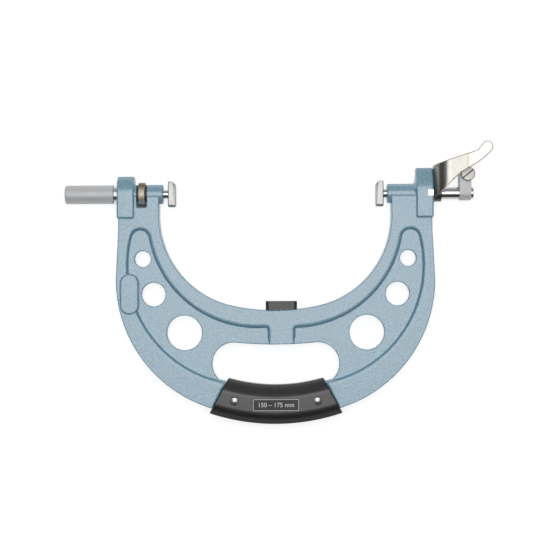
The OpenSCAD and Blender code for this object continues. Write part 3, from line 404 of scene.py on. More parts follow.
class Nodes:
    """The nodes of a material or a world, ending in one shader."""

    def __init__(self, owner, output, shader):
        owner.use_nodes = True
        self.tree = owner.node_tree
        self.tree.nodes.clear()
        out = self.tree.nodes.new("ShaderNodeOutput" + output)
        self.shader = self.tree.nodes.new("ShaderNode" + shader)
        self.tree.links.new(self.shader.outputs[0], out.inputs[0])

    def put(self, socket, value):
        """Links a Value to the socket, or sets a number or colour on it."""
        if isinstance(value, Value):
            self.tree.links.new(value.socket, socket)
        else:
            socket.default_value = value

    def node(self, kind, settings=None, sockets=None, out=0):
        """A node of the given type, with its settings made first and its sockets then set or linked."""
        made = self.tree.nodes.new("ShaderNode" + kind)
        for key, value in (settings or {}).items():
            setattr(made, key, value)
        for key, value in (sockets or {}).items():
            self.put(made.inputs[key], value)
        return Value(self, made.outputs[out])

    def feed(self, **sockets):
        """Sets or links the shader's own sockets, named with _ for spaces."""
        for key, value in sockets.items():
            self.put(self.shader.inputs[key.replace("_", " ")], value)

    def span(self, value, low, high, start=0.0, stop=1.0):
        """The value's stretch from low to high carried over to start to stop, and held beyond them."""
        return self.node("MapRange", None, {0: value, 1: low, 2: high, 3: start, 4: stop})

    def parts(self, vector):
        """The x, y and z of a vector."""
        x = self.node("SeparateXYZ", None, {"Vector": vector})
        return [Value(self, socket) for socket in x.socket.node.outputs]


class Finish(Nodes):
    """A material that ends in one Principled shader, with its constants set on the shader's own sockets."""

    def __init__(self, name, **constants):
        self.material = bpy.data.materials.new(name)
        super().__init__(self.material, "Material", "BsdfPrincipled")
        self.feed(**constants)

    def place(self, scale=(1, 1, 1)):
        """Object coordinates, scaled."""
        spot = self.node("TexCoord", out=3)
        return self.node("Mapping", None, {"Vector": spot, "Scale": scale})

    def noise(self, where, scale, detail=3.0, rough=0.5):
        """Soft noise of the given scale."""
        return self.node("TexNoise", None, {"Vector": where, "Scale": scale, "Detail": detail, "Roughness": rough})

    def blend(self, share, a, b):
        """Colour between a and b by the share."""
        return self.node("Mix", {"data_type": "RGBA"}, {0: share, 6: a, 7: b}, out=2)

    def shades(self, share, colour, low, high):
        """The colour scaled by low to high as the share rises."""
        return self.blend(share, shade_of(colour, low), shade_of(colour, high))

    def bump(self, height, strength, distance):
        """Relief from a height."""
        self.feed(Normal=self.node("Bump", None, {"Height": height, "Strength": strength, "Distance": distance}))


def shade_of(colour, factor):
    """The colour scaled by the factor, with full alpha."""
    return tuple(min(1.0, c * factor) for c in colour[:3]) + (1.0,)


def hammered_paint(colour):
    """Grey-blue hammered enamel: shallow round cells in relief, with a slightly lighter skin between them."""
    f = Finish("hammered_paint", IOR=2.1)
    where = f.place()
    warp = f.noise(where, 520.0, 2.0)
    cells = f.node("TexVoronoi", {"feature": "SMOOTH_F1"}, {"Vector": where, "Scale": 700.0, "Smoothness": 0.5})
    fine = f.noise(where, 1800.0, 3.0, 0.6)
    cloud = f.noise(where, 28.0, 2.0)
    tone = f.span(cells * 0.8 + warp * 0.7 + fine * 0.35, 0.45, 1.1)
    mixed = f.shades(tone, colour, 0.79, 1.21)
    f.feed(Base_Color=f.blend(cloud * 0.25, mixed, shade_of(colour, 0.92)))
    f.feed(Roughness=f.span(fine, 0.3, 0.7, 0.20, 0.32))
    f.bump(cells * 0.7 + warp * 0.5 + fine * 0.12, 0.46, 0.0003)
    return f.material


def moulded_plastic(colour):
    """Charcoal moulded plastic: fine spark-eroded grain and faint lighter rubbing."""
    f = Finish("moulded_plastic", IOR=1.78)
    where = f.place()
    grain = f.noise(where, 2600.0, 2.0, 0.6)
    rub = f.noise(where, 60.0, 4.0, 0.6)
    f.feed(Base_Color=f.shades(f.span(rub, 0.35, 0.75), colour, 0.85, 1.35))
    f.feed(Roughness=f.span(grain, 0.3, 0.7, 0.31, 0.40))
    f.bump(grain, 0.25, 0.00012)
    return f.material


def turned_metal(name, colour, rough, along=(7000.0, 60.0, 60.0), lines=0.08, spread=0.06, metallic=1.0):
    """Metal with fine tool lines: noise drawn out along one direction varies its tone, gloss and relief."""
    f = Finish(name, Metallic=metallic)
    line = f.noise(f.place(along), 1.0, 3.0, 0.65)
    smear = f.noise(f.place(), 90.0, 3.0)
    f.feed(Base_Color=f.shades(f.span(line, 0.25, 0.75), colour, 1 - spread, 1 + spread))
    f.feed(Roughness=f.span(smear + line * 0.6, 0.4, 1.2, max(0.02, rough * 0.8), rough * 1.25))
    f.bump(line, lines, 0.00005)
    return f.material


def lever_finish(colour):
    """Rolled nickel sheet: fine rolling lines across the lever, painted shade darkening the foot and the bend, and a
    thumb piece made smoother and painted brighter as a painted highlight."""
    f = Finish("lever_nickel", Metallic=1.0)
    line = f.noise(f.place((90.0, 2600.0, 90.0)), 1.0, 3.0, 0.6)
    smear = f.noise(f.place(), 110.0, 3.0)
    x = f.parts(f.place())[0]
    # Painted highlight: the thumb piece's colour is made brighter, and its roughness also falls there.
    rubbed_highlight = f.span(x + smear * 0.004, 0.2510, 0.2610)
    # Painted shade: the foot and the bend are painted dark in place of the dark reflection they would take.
    foot_shade = f.span(x + smear * 0.001, 0.2300, 0.2270)
    plain = f.shades(line, colour, 0.95, 1.05)
    plain = f.blend(foot_shade, plain, shade_of(colour, 0.5))
    f.feed(Base_Color=f.blend(rubbed_highlight, plain, shade_of(colour, 1.1)))
    f.feed(Roughness=f.span(smear + line * 0.4 - rubbed_highlight * 0.3, 0.2, 1.0, 0.24, 0.34))
    f.bump(line, 0.03, 0.00004)
    return f.material


def lock_finish(colour):
    """Warm steel, with painted shade darkening the ring's upper side and a painted highlight making its lower side
    paler.
    """
    f = Finish("lock_steel", Metallic=0.7)
    smear = f.noise(f.place(), 400.0, 3.0)
    y = f.parts(f.place())[1]
    high = y + smear * 0.002
    # Painted shade: the ring's upper side is darkened in its base colour.
    upper_shade = f.shades(f.span(high, 0.0050, 0.0080), colour, 1.0, 0.3)
    # Painted highlight: below the middle the colour is blended to a pale grey, lightening the ring's lower side.
    f.feed(Base_Color=f.blend(f.span(high, -0.0040, -0.0070), upper_shade, (0.9, 0.9, 0.92, 1.0)))
    f.feed(Roughness=f.span(smear, 0.3, 0.7, 0.34, 0.48))
    f.bump(smear, 0.05, 0.00005)
    return f.material


def black_finish(colour):
    """Blackened steel: dark oxide with faint tool lines and lighter wear in patches."""
    f = Finish("oil_blacking", IOR=1.65)
    wear = f.noise(f.place(), 140.0, 4.0, 0.65)
    line = f.noise(f.place((900.0, 900.0, 4000.0)), 1.0, 2.0)
    f.feed(Base_Color=f.shades(f.span(wear, 0.5, 0.85), colour, 0.9, 1.8))
    f.feed(Roughness=f.span(line, 0.3, 0.7, 0.28, 0.42))
    f.bump(line, 0.08, 0.00008)
    return f.material


def floor_finish(colour):
    """Pale floor that shows as white to the camera and in reflections, and keeps the soft shadow."""
    f = Finish("pale_floor", Roughness=0.8, Specular_IOR_Level=0.1)
    path = f.node("LightPath")
    ray = path.socket.node.outputs
    seen = f.node("Math", {"operation": "MAXIMUM"}, {0: path, 1: Value(f, ray["Is Glossy Ray"])})
    seen = f.node("Math", {"operation": "MAXIMUM"}, {0: seen, 1: Value(f, ray["Is Transmission Ray"])})
    paper = f.noise(f.place(), 400.0, 2.0)
    f.feed(Base_Color=f.shades(paper, colour, 0.98, 1.0))
    f.feed(Emission_Color=f.blend(seen, (0, 0, 0, 1), (1, 1, 1, 1)), Emission_Strength=0.75)
    return f.material


# Settings


def size(label, text, default, **more):
    """A length in metres that the user can change."""
    return FloatProperty(name=label, description=text, default=default, unit="LENGTH", precision=5, **more)


def paint(label, text, default):
    """A colour that the user can change."""
    return FloatVectorProperty(name=label, description=text, default=default, size=3, subtype="COLOR", min=0, max=1)


class GaugeSizes(bpy.types.PropertyGroup):
    """Sizes of the details that the looks add to the solids."""

    cast_edge: size("Cast edge", "Radius of the casting's rounded edges", 0.0009)
    rim_crown: size("Rim crown", "Width over which the rim's face falls off to the web", 0.0027)
    web_fillet: size("Web fillet", "Radius between the rim's wall and the web", 0.0009)
    hole_edge: size("Hole edge", "Radius of the edges of the holes in the web", 0.0008)
    boss_edge: size("Boss edge", "Radius of the bosses' edges", 0.0016)
    grip_edge: size("Grip edge", "Radius of the grip's edges", 0.0011)
    metal_edge: size("Metal edge", "Radius of the edges of small metal pieces", 0.0004)
    figure_height: size("Figure height", "Height of the figures on the plate", 0.0054)


class GaugeColours(bpy.types.PropertyGroup):
    """Colours of the finishes."""

    paint: paint("Paint", "Hammered paint of the frame", (0.24, 0.45, 0.585))
    grip: paint("Grip", "Moulded grip", (0.016, 0.016, 0.018))
    plate: paint("Plate", "Ground of the range plate", (0.03, 0.03, 0.033))
    figures: paint("Figures", "Figures on the range plate", (0.78, 0.78, 0.76))
    satin: paint("Satin steel", "Cap and clamp", (0.77, 0.785, 0.80))
    bright: paint("Bright steel", "Spindles, anvils and keys", (0.54, 0.54, 0.535))
    nickel: paint("Nickel", "Lever and screw", (0.465, 0.45, 0.415))
    warm: paint("Warm steel", "Lock ring", (0.60, 0.52, 0.42))
    black: paint("Black steel", "Collar and stop", (0.030, 0.029, 0.030))


class GaugeSettings(bpy.types.PropertyGroup):
    """All settings of the gauge's looks."""

    sizes: PointerProperty(type=GaugeSizes)
    colours: PointerProperty(type=GaugeColours)
    figures: StringProperty(name="Range", description="Figures on the plate", default="150 \u2013 175 mm")


def sizes():
    """Named sizes in millimetres."""
    group = bpy.context.scene.gauge.sizes
    return {key: getattr(group, key) * 1000 for key in GaugeSizes.__annotations__}


def colours():
    """Named colours."""
    group = bpy.context.scene.gauge.colours
    return {key: tuple(getattr(group, key)) for key in GaugeColours.__annotations__}


def shared_finish(name):
    """A finish that several builders use, made on first use."""
    c = colours()
    ground = (300.0, 5000.0, 300.0)
    lapped = (90.0, 4000.0, 4000.0)
    makers = {
        "satin_turning": lambda: turned_metal(name, c["satin"], 0.5, metallic=0.25),
        "spindle_grinding": lambda: turned_metal(name, c["bright"], 0.10),
        "anvil_grinding": lambda: turned_metal(name, c["bright"], 0.45, ground),
        "carbide_lapping": lambda: turned_metal(name, shade_of(c["bright"], 0.9), 0.42, lapped),
        "oil_blacking": lambda: black_finish(c["black"]),
    }
    return bpy.data.materials.get(name) or makers[name]()


# Frame


def throat_line():
    """Throat from the left arm's top to the right arm's top: straight, side arc, bottom arc, side arc, straight."""
    turn = angle_to((0, BOTTOM_Y), (-THROAT_SIDE[0], THROAT_SIDE[1]))
    left = arc((-THROAT_SIDE[0], THROAT_SIDE[1]), THROAT_R, 180, turn, 60)
    bottom = arc((0, BOTTOM_Y), BOTTOM_R, turn, 540 - turn, 40)
    return np.r_[[[-THROAT_X, 0]], left, bottom[1:-1], mirrored(left), [[THROAT_X, 0]]]


def outer_line():
    """Right side of the frame from the arm's top to the handle's middle: straight arm, side arc, handle arc."""
    turn = angle_to((0, HANDLE_Y), OUTER_SIDE)
    side = arc(OUTER_SIDE, OUTER_R, 360, turn, 60)
    return np.r_[[[ARM_X, 0], [ARM_X, ARM_STRAIGHT]], side, arc((0, HANDLE_Y), HANDLE_R, turn, 270, 40)[1:]]


def grip_end_x(y):
    """Place of the grip's slanted end at the height y."""
    return GRIP_TOP[0] + (GRIP_TOP[1] - y) * math.tan(math.radians(GRIP_ANGLE))


def recess_y(x):
    """Height of the recess's inner arc at the distance x from the middle."""
    return WEB_INNER[1] - math.sqrt(WEB_INNER_R**2 - (x - WEB_INNER[0]) ** 2)


def recess_line(pad_x):
    """Right edge of the web's recess on the rim's face, from the pad's fillet at pad_x to the grip: inner arc, round
    end, outer arc."""
    a, b = np.array(WEB_INNER), np.array(WEB_OUTER)
    ra, rb = WEB_INNER_R + WEB_END_R, WEB_OUTER_R - WEB_END_R
    d = np.linalg.norm(b - a)
    u = (b - a) / d
    along = (d * d + ra * ra - rb * rb) / (2 * d)
    end = a + along * u + math.sqrt(ra * ra - along * along) * np.array([-u[1], u[0]])
    inner_turn, outer_turn = angle_to(a, end), angle_to(b, end)
    inner = arc(a, WEB_INNER_R, angle_to(a, (pad_x, recess_y(pad_x))), inner_turn, 70)
    round_end = arc(end, WEB_END_R, (inner_turn + 180) % 360, outer_turn, 30)
    outer = arc(b, WEB_OUTER_R, outer_turn + 360, 270, 90)
    outer = outer[np.abs(outer[:, 0]) >= [grip_end_x(y) for y in outer[:, 1]]]
    return np.r_[inner, round_end[1:], outer[1:]]


def pocket_line(shift):
    """Right edge of the recess from the pad's foot to the grip, where the pad's middle lies at the given shift: the
    pad's side, its fillet and the recess's line. With it comes each point's share, which rises up from the foot."""
    x, f = shift + PAD_HALF, PAD_FILLET
    foot = HAND_TOP_Y - math.sqrt(HAND_TOP_R**2 - x**2) + 0.05
    side = np.c_[np.full(5, x), foot + np.array([0, 2.0, 4.0, 6.0, 8.0])]
    fillet = arc((x + f, recess_y(x + f) - f), f, 180, 90, 8)[:-1]
    line = np.r_[side, fillet, recess_line(x + f)]
    share = np.ones(len(line))
    share[:4] = [0, 0.25, 0.55, 0.85]
    return line, share


def lock_slot_line():
    """Slot for the lock ring in the left arm's top: two straight sides and a foot with round corners."""
    half, foot, r = LOCK_SLOT / 2, LOCK_FOOT, 1.6
    left = np.r_[[[LOCK_X - half, 0]], arc((LOCK_X - half + r, foot + r), r, 180, 270, 6)]
    return np.r_[left, arc((LOCK_X + half - r, foot + r), r, 270, 360, 6), [[LOCK_X + half, 0]]]


def hand_hole_line():
    """Hand hole: two round ends joined by the bar's inner arc below and the flat arc above."""
    low, high = angle_to((0, HANDLE_Y), HAND_END), angle_to(HAND_END, (0, HAND_TOP_Y))
    right = arc(HAND_END, HAND_END_R, low - 360, high, 40)
    top = angle_to((0, HAND_TOP_Y), HAND_END)
    over = arc((0, HAND_TOP_Y), HAND_TOP_R, top, 540 - top, 30)
    under = arc((0, HANDLE_Y), BAR_INNER_R, 540 - low, low, 30)
    return np.r_[right, over[1:-1], mirrored(right), under[1:-1]]


def hole_lines():
    """The six round holes in the web, three to a side along the throat's side arc."""
    a = -np.radians(HOLES[:, 1])
    away = THROAT_R + HOLES[:, 2]
    centres = np.c_[THROAT_SIDE[0] + away * np.cos(a), THROAT_SIDE[1] + away * np.sin(a)]
    right = [arc(c, d / 2, 0, 352.5, 48) for c, d in zip(centres, HOLES[:, 0])]
    return right + [mirrored(line) for line in right]


def rim_outline():
    """Closed line round the raised rim, and the share of the web's draft and fillet at each point: one along the
    web's recess and the pad's sides, none along the outside, and a rising share up from the pad's foot."""
    right, right_share = pocket_line(STOP_X)
    left, left_share = pocket_line(-STOP_X)
    outside = outer_line()
    outside = outside[outside[:, 0] >= [grip_end_x(y) if y < -150 else 0 for y in outside[:, 1]]]
    plain = np.r_[mirrored(outside), lock_slot_line(), throat_line(), outside]
    loop = np.r_[plain, right[::-1], left * [-1, 1]]
    share = np.r_[np.zeros(len(plain)), right_share[::-1], left_share]
    keep = np.linalg.norm(loop - np.roll(loop, 1, 0), axis=1) > 0.02
    return loop[keep], share[keep]


def rim_shell(edge, crown, fillet):
    """Rim of the frame. Going down from the face, the outline is let in by the round edge, then runs straight where
    the share is none. Elsewhere the face falls off in a quarter ellipse as wide as the crown, and the wall leans out
    by the draft and flares into the web by a hollow quarter round. Between the faces the arms stop under the bores."""
    loop, share = rim_outline()
    a = np.linspace(0, math.pi / 2, 8)
    slope = math.tan(math.radians(WALL_SLOPE))
    inset = np.r_[1 - np.sin(a), np.zeros(9)]
    height = np.r_[RIM_Z - edge * (1 - np.cos(a)), WEB_Z + fillet * (1 - np.sin(a)), [WEB_Z - 0.6]]
    lean = np.r_[(RIM_Z - height[:8]) * slope, (RIM_Z - WEB_Z - fillet) * slope + fillet * (1 - np.cos(a)), [0]]
    lean[-1] = lean[-2]
    move = inset[:, None] * (edge + (crown - edge) * share[None]) - lean[:, None] * share[None]
    move, height = np.r_[move, move[::-1]], np.r_[height, -height[::-1]]
    flat = loop[None] + move[..., None] * inward(loop)[None]
    middle = np.abs(height) < WEB_Z + 1
    flat[middle, :, 1] = np.minimum(flat[middle, :, 1], UNDER_BORE)
    return skin(raised(flat, height))


def web_shell(edge):
    """Web of the frame: the outline let in under the rim, less the hand hole and the six round holes."""
    outside = outer_line()
    loop = np.r_[mirrored(outside), lock_slot_line(), throat_line(), outside[:-1]]
    loop = tidy_line(loop)
    loop = loop + 3.0 * inward(loop)
    loop[:, 1] = np.minimum(loop[:, 1], UNDER_BORE - 0.3)
    holes = [tidy_line(line) for line in [hand_hole_line()] + hole_lines()]
    return pierced_slab(loop, holes, [[0, WEB_Z], [0, -WEB_Z]], edge_rings(WEB_Z, edge))


def boss_shell(side, rise, round_r, bore, edge):
    """Boss across an arm's end: a block below the axis whose two faces curve back above it with the given radius,
    cut flat at the rise, carried along the axis with round ends and pierced by its bore."""
    foot_r, top_r, none = 1.9, 1.8, np.full(13, 0.01)
    y = np.linspace(0, rise, len(none) + 1)
    right = np.c_[y, np.sqrt(round_r**2 - y**2) - (round_r - BOSS_Z)]
    section = np.r_[[[BOSS_FOOT, -BOSS_Z], [BOSS_FOOT, BOSS_Z]], right, (right * [1, -1])[::-1]]
    radii = np.r_[[foot_r, foot_r], none, [top_r, top_r], none]
    rings = edge_rings((BOSS_END - BOSS_IN) / 2, edge) + [0, (BOSS_END + BOSS_IN) / 2]
    hole = arc((0, 0), bore, 0, 356.25, 96)
    line = tidy_line(soften(section, radii, 6))
    points, faces = pierced_slab(line, [hole], rings, [[0, BOSS_END], [0, BOSS_IN]], axes=(1, 2, 0))
    return points * [side, 1, 1], faces


def tube_shell(x0, x1, edge=0.9):
    """Spindle tube on an arm, from x0 to x1, with round edges and its bore."""
    return turned(ring_profile(x0, x1, TUBE_R, BORE_R, edge, 6), count=120)


def spring_tube_shell(edge=0.9):
    """Right spindle tube, whose bore widens to take the spring."""
    end = BOSS_IN + 4
    corners = [[TUBE_END, BORE_R], [SPRING_ROOM, BORE_R], [SPRING_ROOM, STEM_BORE_R], [end, STEM_BORE_R]]
    profile = soften(corners + [[end, TUBE_R], [TUBE_END, TUBE_R]], [0.1, 0.1, 0.1, 0.1, edge, edge], 6)
    return turned(profile, count=120)


def flare_shell():
    """Fillet from the right tube up to its boss: the radius grows by the flare times (1 - cos s) while x runs by the
    flare times sin s, for s to 90 degrees, and only above the axis."""
    s = np.linspace(0, math.pi / 2, 14)
    a = np.linspace(0, 2 * math.pi, 120, endpoint=False)
    top = np.clip((np.sin(a) + 0.1) / 0.5, 0, 1)
    top = top * top * (3 - 2 * top)
    x = np.r_[BOSS_IN - FLARE + FLARE * np.sin(s), [BOSS_IN + 3, BOSS_IN + 3, BOSS_IN - FLARE]]
    grow = np.r_[FLARE * (1 - np.cos(s)), [FLARE, 0, 0]]
    base = np.r_[np.full(15, TUBE_R - 0.02), [TUBE_R - 3, TUBE_R - 3]]
    radius = np.minimum(base[:, None] + grow[:, None] * top[None], BOSS_Z - 0.1)
    grid = np.stack([np.broadcast_to(x[:, None], radius.shape), radius * np.sin(a), radius * np.cos(a)], -1)
    return skin(grid, wrap_rows=True)


def oval_shell(crown, fall=1.3):
    """Oval pad on the left arm's front: two half circles joined by straight sides. Its face falls off at the edge in a
    quarter ellipse as wide as the crown."""
    x, y = OVAL
    loop = np.r_[arc((x, y + OVAL_HALF), OVAL_R, 0, 180, 40), arc((x, y - OVAL_HALF), OVAL_R, 180, 360, 40)]
    a = np.linspace(0, math.pi / 2, 8)
    rings = np.c_[crown * (1 - np.sin(a)), OVAL_Z - fall * (1 - np.cos(a))]
    return prism(loop, np.r_[rings, [[0, WEB_Z - 1]]])


class GAUGE_OT_frame(bpy.types.Operator):
    """Builds the painted frame with its rim, web, bosses and spindle tubes"""

    bl_idname = "gauge.frame"
    bl_label = "Frame"

    def execute(self, context):
        s = sizes()
        half = LOCK_SLOT / 2
        shells = [
            rim_shell(s["cast_edge"], s["rim_crown"], s["web_fillet"]),
            web_shell(s["hole_edge"]),
            oval_shell(s["rim_crown"] * 0.7),
            boss_shell(-1, *LEFT_BOSS, BUSH_R + 0.02, s["boss_edge"]),
            boss_shell(1, *RIGHT_BOSS, STEM_BORE_R, s["boss_edge"]),
            tube_shell(LOCK_X + half, -TUBE_END),
            tube_shell(BUSH_END, LOCK_X - half),
            spring_tube_shell(),
            flare_shell(),
        ]
        coat = hammered_paint(colours()["paint"])
        build("painted_frame", shells, "gauge", ["frame"], coat)
        return {"FINISHED"}


# Grip


def grip_section():
    """Section of a grip half as a closed line of radius and height: inner edge, hollow bevel, an arc that touches the
    bevel's arc and the flat, the flat, outer bevel and outer edge, with round corners."""
    low, high = np.array([GRIP_IN_R, GRIP_IN_Z]), np.array([FLAT_IN_R, BOSS_Z])
    r, ease = COVE_R, COVE_EASE
    chord = np.linalg.norm(high - low) / 2
    normal = np.array([-(high - low)[1], (high - low)[0]]) / (2 * chord)
    centre = (low + high) / 2 + math.sqrt(r * r - chord * chord) * normal
    hub_z = high[1] - ease
    hub = (centre[0] + math.sqrt((r + ease) ** 2 - (hub_z - centre[1]) ** 2), hub_z)
    turn = angle_to(centre, hub)
    cove = np.r_[arc(centre, r, angle_to(centre, low), turn, 12), arc(hub, ease, turn - 180, 90, 9)[1:]]
    foot, outer = [[GRIP_OUT_R, 0], [GRIP_IN_R, 0]], [[FLAT_OUT_R, BOSS_Z], [GRIP_OUT_R, GRIP_OUT_Z]]
    radii = np.r_[[0.02, 0.02, 0.9], np.full(len(cove) - 1, 0.02), [12.0, 1.6]]
    return tidy_line(soften(np.r_[foot, cove, outer], radii, 12), 0.005)


def grip_shell(face, edge):
    """Grip half: the section carried round the handle's centre. At radius r its slanted end lies at the angle
    end - asin(k / r), and the last rows are let in to round the ends."""
    section = grip_section()
    into = inward(section)
    tilt = math.radians(GRIP_ANGLE)
    k = -(GRIP_TOP[0] + (GRIP_TOP[1] - HANDLE_Y) * math.tan(tilt)) * math.cos(tilt)
    a = np.linspace(0, math.pi / 2, 5)
    row = np.linspace(-1, 1, 61)
    share = np.r_[np.full(4, -1), row, np.full(4, 1)]
    inset = edge * np.r_[1 - np.sin(a[:4]), np.zeros(61), (1 - np.sin(a[:4]))[::-1]]
    back = edge * np.r_[1 - np.cos(a[:4]), np.ones(61), (1 - np.cos(a[:4]))[::-1]]
    flat = section[None] + inset[:, None, None] * into[None]
    radius, height = flat[..., 0], np.maximum(flat[..., 1], 0)
    end = tilt - np.arcsin(k / radius) - back[:, None] / radius
    angle = share[:, None] * end
    x, y = radius * np.sin(angle), HANDLE_Y - radius * np.cos(angle)
    return skin(np.stack([x, y, face * height], -1))


def rectangle(x, y):
    """Corners of a rectangle about the origin with the half sides x and y."""
    return np.array([[-x, -y], [x, -y], [x, y], [-x, y]])


def rivet_places():
    """Centres of the two rivets on the grip."""
    a = np.radians([-RIVET_ANGLE, RIVET_ANGLE])
    return np.c_[RIVET_AWAY * np.sin(a), HANDLE_Y - RIVET_AWAY * np.cos(a)]


def head_edge(top, radius, edge):
    """Round edge of a turned head: a quarter circle from its side up to its top."""
    a = np.linspace(0, math.pi / 2, 8)
    return np.c_[top - edge + edge * np.sin(a), radius - edge + edge * np.cos(a)]


def rivet_head():
    """Profile of a rivet's head on the front: straight side, round edge and low dome."""
    edge, top = 0.4, 10.7
    rim = RIVET_R - edge
    r = np.linspace(rim, 0, 6)
    dome = np.c_[top + np.sqrt(DOME_R**2 - r**2) - math.sqrt(DOME_R**2 - rim**2), r]
    return np.r_[[[SINK_Z - 0.1, 0], [SINK_Z - 0.1, RIVET_R]], head_edge(top, RIVET_R, edge), dome[1:]]


class GAUGE_OT_grip(bpy.types.Operator):
    """Builds the two halves of the grip and its rivets"""

    bl_idname = "gauge.grip"
    bl_label = "Grip"

    def execute(self, context):
        s, c = sizes(), colours()
        plastic = moulded_plastic(c["grip"])
        nickel = turned_metal("nickel_rivet", c["nickel"], 0.22, (400.0, 400.0, 400.0))
        # Cutters: a bed for the plate, and a round sink at each rivet
        out = BOSS_Z + 2.5
        bed = rectangle(PLATE_HALF[0] + 0.1, PLATE_HALF[1] + 0.1) + [0, PLATE_Y]
        recess = prism(soften(bed, 0.6), [[0, out], [0, PLATE_BED]])
        sink = np.array([[SINK_Z, 0], [SINK_Z, SINK_R], [out, SINK_R], [out, 0]])
        heads = []
        for face, side, more in ((1, "front", [recess]), (-1, "back", [])):
            shape = [grip_shell(face, s["grip_edge"])]
            half = build(f"grip_{side}_half", shape, "gauge", ["grip_" + side], plastic)
            places = [(x, y, 0) for x, y in rivet_places()]
            carve(half, [turned(sink * [face, 1], False, 48, place, (2, 0, 1)) for place in places] + more, 30)
            heads += [turned(rivet_head() * [face, 1], False, 48, place, (2, 0, 1)) for place in places]
        build("grip_rivet_heads", heads, "gauge", ["grip_rivets"], nickel)
        return {"FINISHED"}


class GAUGE_OT_plate(bpy.types.Operator):
    """Builds the range plate with its border and figures"""

    bl_idname = "gauge.plate"
    bl_label = "Range plate"

    def execute(self, context):
        c = colours()
        ground = turned_metal("plate_ground", c["plate"], 0.38, (60.0, 6000.0, 60.0), metallic=0.3)
        light = turned_metal("plate_figures", c["figures"], 0.45, (400.0, 400.0, 400.0), metallic=0.0)
        corners = rectangle(*PLATE_HALF)
        loop = soften(corners + [0, PLATE_Y], 0.6)
        plate = prism(loop, np.r_[edge_rings(PLATE_Z, 0.15)[:5], [[0, PLATE_BED + 0.05]]])
        build("range_plate_ground", [plate], "gauge", ["range_plate"], ground)
        # The border is a band between a line and the same line let in, and stands a little over the ground.
        line = soften(corners * [0.985, 0.945] + [0, PLATE_Y], 0.4)
        inside = line + 0.55 * inward(line)
        border = raised(np.stack([line, line, inside, inside]), PLATE_Z + np.array([-0.05, 0.04, 0.04, -0.05]))
        build("range_plate_border", [skin(border, wrap_rows=True)], "gauge", [], light)
        text = bpy.data.curves.new("figures", "FONT")
        text.body, text.align_x, text.align_y = context.scene.gauge.figures, "CENTER", "CENTER"
        text.size, text.extrude, text.offset = context.scene.gauge.sizes.figure_height, 0.00004, 0.00009
        shown = bpy.data.objects.new("range_figures", text)
        context.scene.collection.objects.link(shown)
        mesh = bpy.data.meshes.new_from_object(shown.evaluated_get(context.evaluated_depsgraph_get()))
        bpy.data.objects.remove(shown)
        mesh.transform(Matrix.Translation((MIDDLE + [0, PLATE_Y, PLATE_Z + 0.01]) / 1000))
        figures = bpy.data.objects.new("range_figures", mesh)
        context.scene.collection.objects.link(figures)
        mesh.materials.clear()
        mesh.materials.append(light)
        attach(figures, "gauge")
        return {"FINISHED"}


# Adjusting side


def anvil_shells(side):
    """Steel body and carbide tip of an anvil: one outline from the front, with the round lead-in above and a small
    radius below, carried from back to front with round edges and parted by a flat cut at the joint. Below, y is kept
    over the chamfer, which rises by as much as z passes the chamfer's start."""
    corners = [[TIP_X, -ANVIL_HALF], [ANVIL_BACK, -ANVIL_HALF], [ANVIL_BACK, ANVIL_HALF], [TIP_X, ANVIL_HALF]]
    loop = soften(corners, [1.5, 1.0, 1.0, 5.0], 12)
    in_tip = loop[:, 0] < TIP_JOINT
    loop = np.roll(loop, -np.flatnonzero(~in_tip & np.roll(in_tip, 1))[0], 0)
    count = (~in_tip).sum()
    pairs = np.array([[loop[-1], loop[0]], [loop[count - 1], loop[count]]])
    part = (TIP_JOINT - pairs[:, 0, :1]) / (pairs[:, 1, :1] - pairs[:, 0, :1])
    ends = pairs[:, 0] + part * (pairs[:, 1] - pairs[:, 0])
    loop = np.r_[ends[:1], loop[:count], ends[1:], loop[count:]]
    rings = np.insert(edge_rings(ANVIL_Z, 0.9), 5, [[0, CHAMFER_Z], [0, -CHAMFER_Z]], 0)
    flat = loop[None] + rings[:, 0, None, None] * inward(loop)[None]
    flat[:, [0, count + 1], 0] = TIP_JOINT
    z = np.broadcast_to(rings[:, 1, None], flat.shape[:2])
    y = np.maximum(flat[..., 1], np.maximum(np.abs(z) - CHAMFER_Z, 0) - ANVIL_HALF)
    grid = np.stack([side * flat[..., 0] + (WOUND_IN if side < 0 else 0.0), y, z], -1)
    return [skin(grid[:, :count + 2]), skin(np.concatenate([grid[:, count + 1:], grid[:, :1]], 1))]


def build_anvil(side, name, body):
    """Builds the steel body and the carbide tip of one anvil."""
    shells = anvil_shells(side)
    steel, carbide = shared_finish("anvil_grinding"), shared_finish("carbide_lapping")
    build(f"{name}_anvil_body", shells[:1], body, [name + "_anvil"], steel)
    build(f"{name}_anvil_tip", shells[1:], body, [name + "_tip"], carbide)


def ends_of(node):
    """Where a solid starts and ends along the axis."""
    return [corner.x * 1000 - MIDDLE[0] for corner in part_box(node)]


def lock_ring_shell():
    """Lock ring: a round-edged ring whose rim is let in by the knurl's depth times (1 - cos(count a)) at the angle a,
    fading to its edges."""
    a = np.linspace(0, 2 * math.pi, 6 * KNURL_COUNT, endpoint=False)
    ring = ring_profile(-RING_HALF, RING_HALF, RING_R, RING_BORE_R, 0.8, 6)
    x, r = ring[:, :1], ring[:, 1:]
    fade = np.clip((r - 9.2) / 0.6, 0, 1) * np.clip((2.5 - np.abs(x)) / 0.5, 0, 1)
    radius = r - KNURL * fade * (1 - np.cos(KNURL_COUNT * a))
    grid = np.stack([np.broadcast_to(x + LOCK_X, radius.shape), radius * np.cos(a), radius * np.sin(a)], -1)
    return skin(grid, wrap_rows=True)


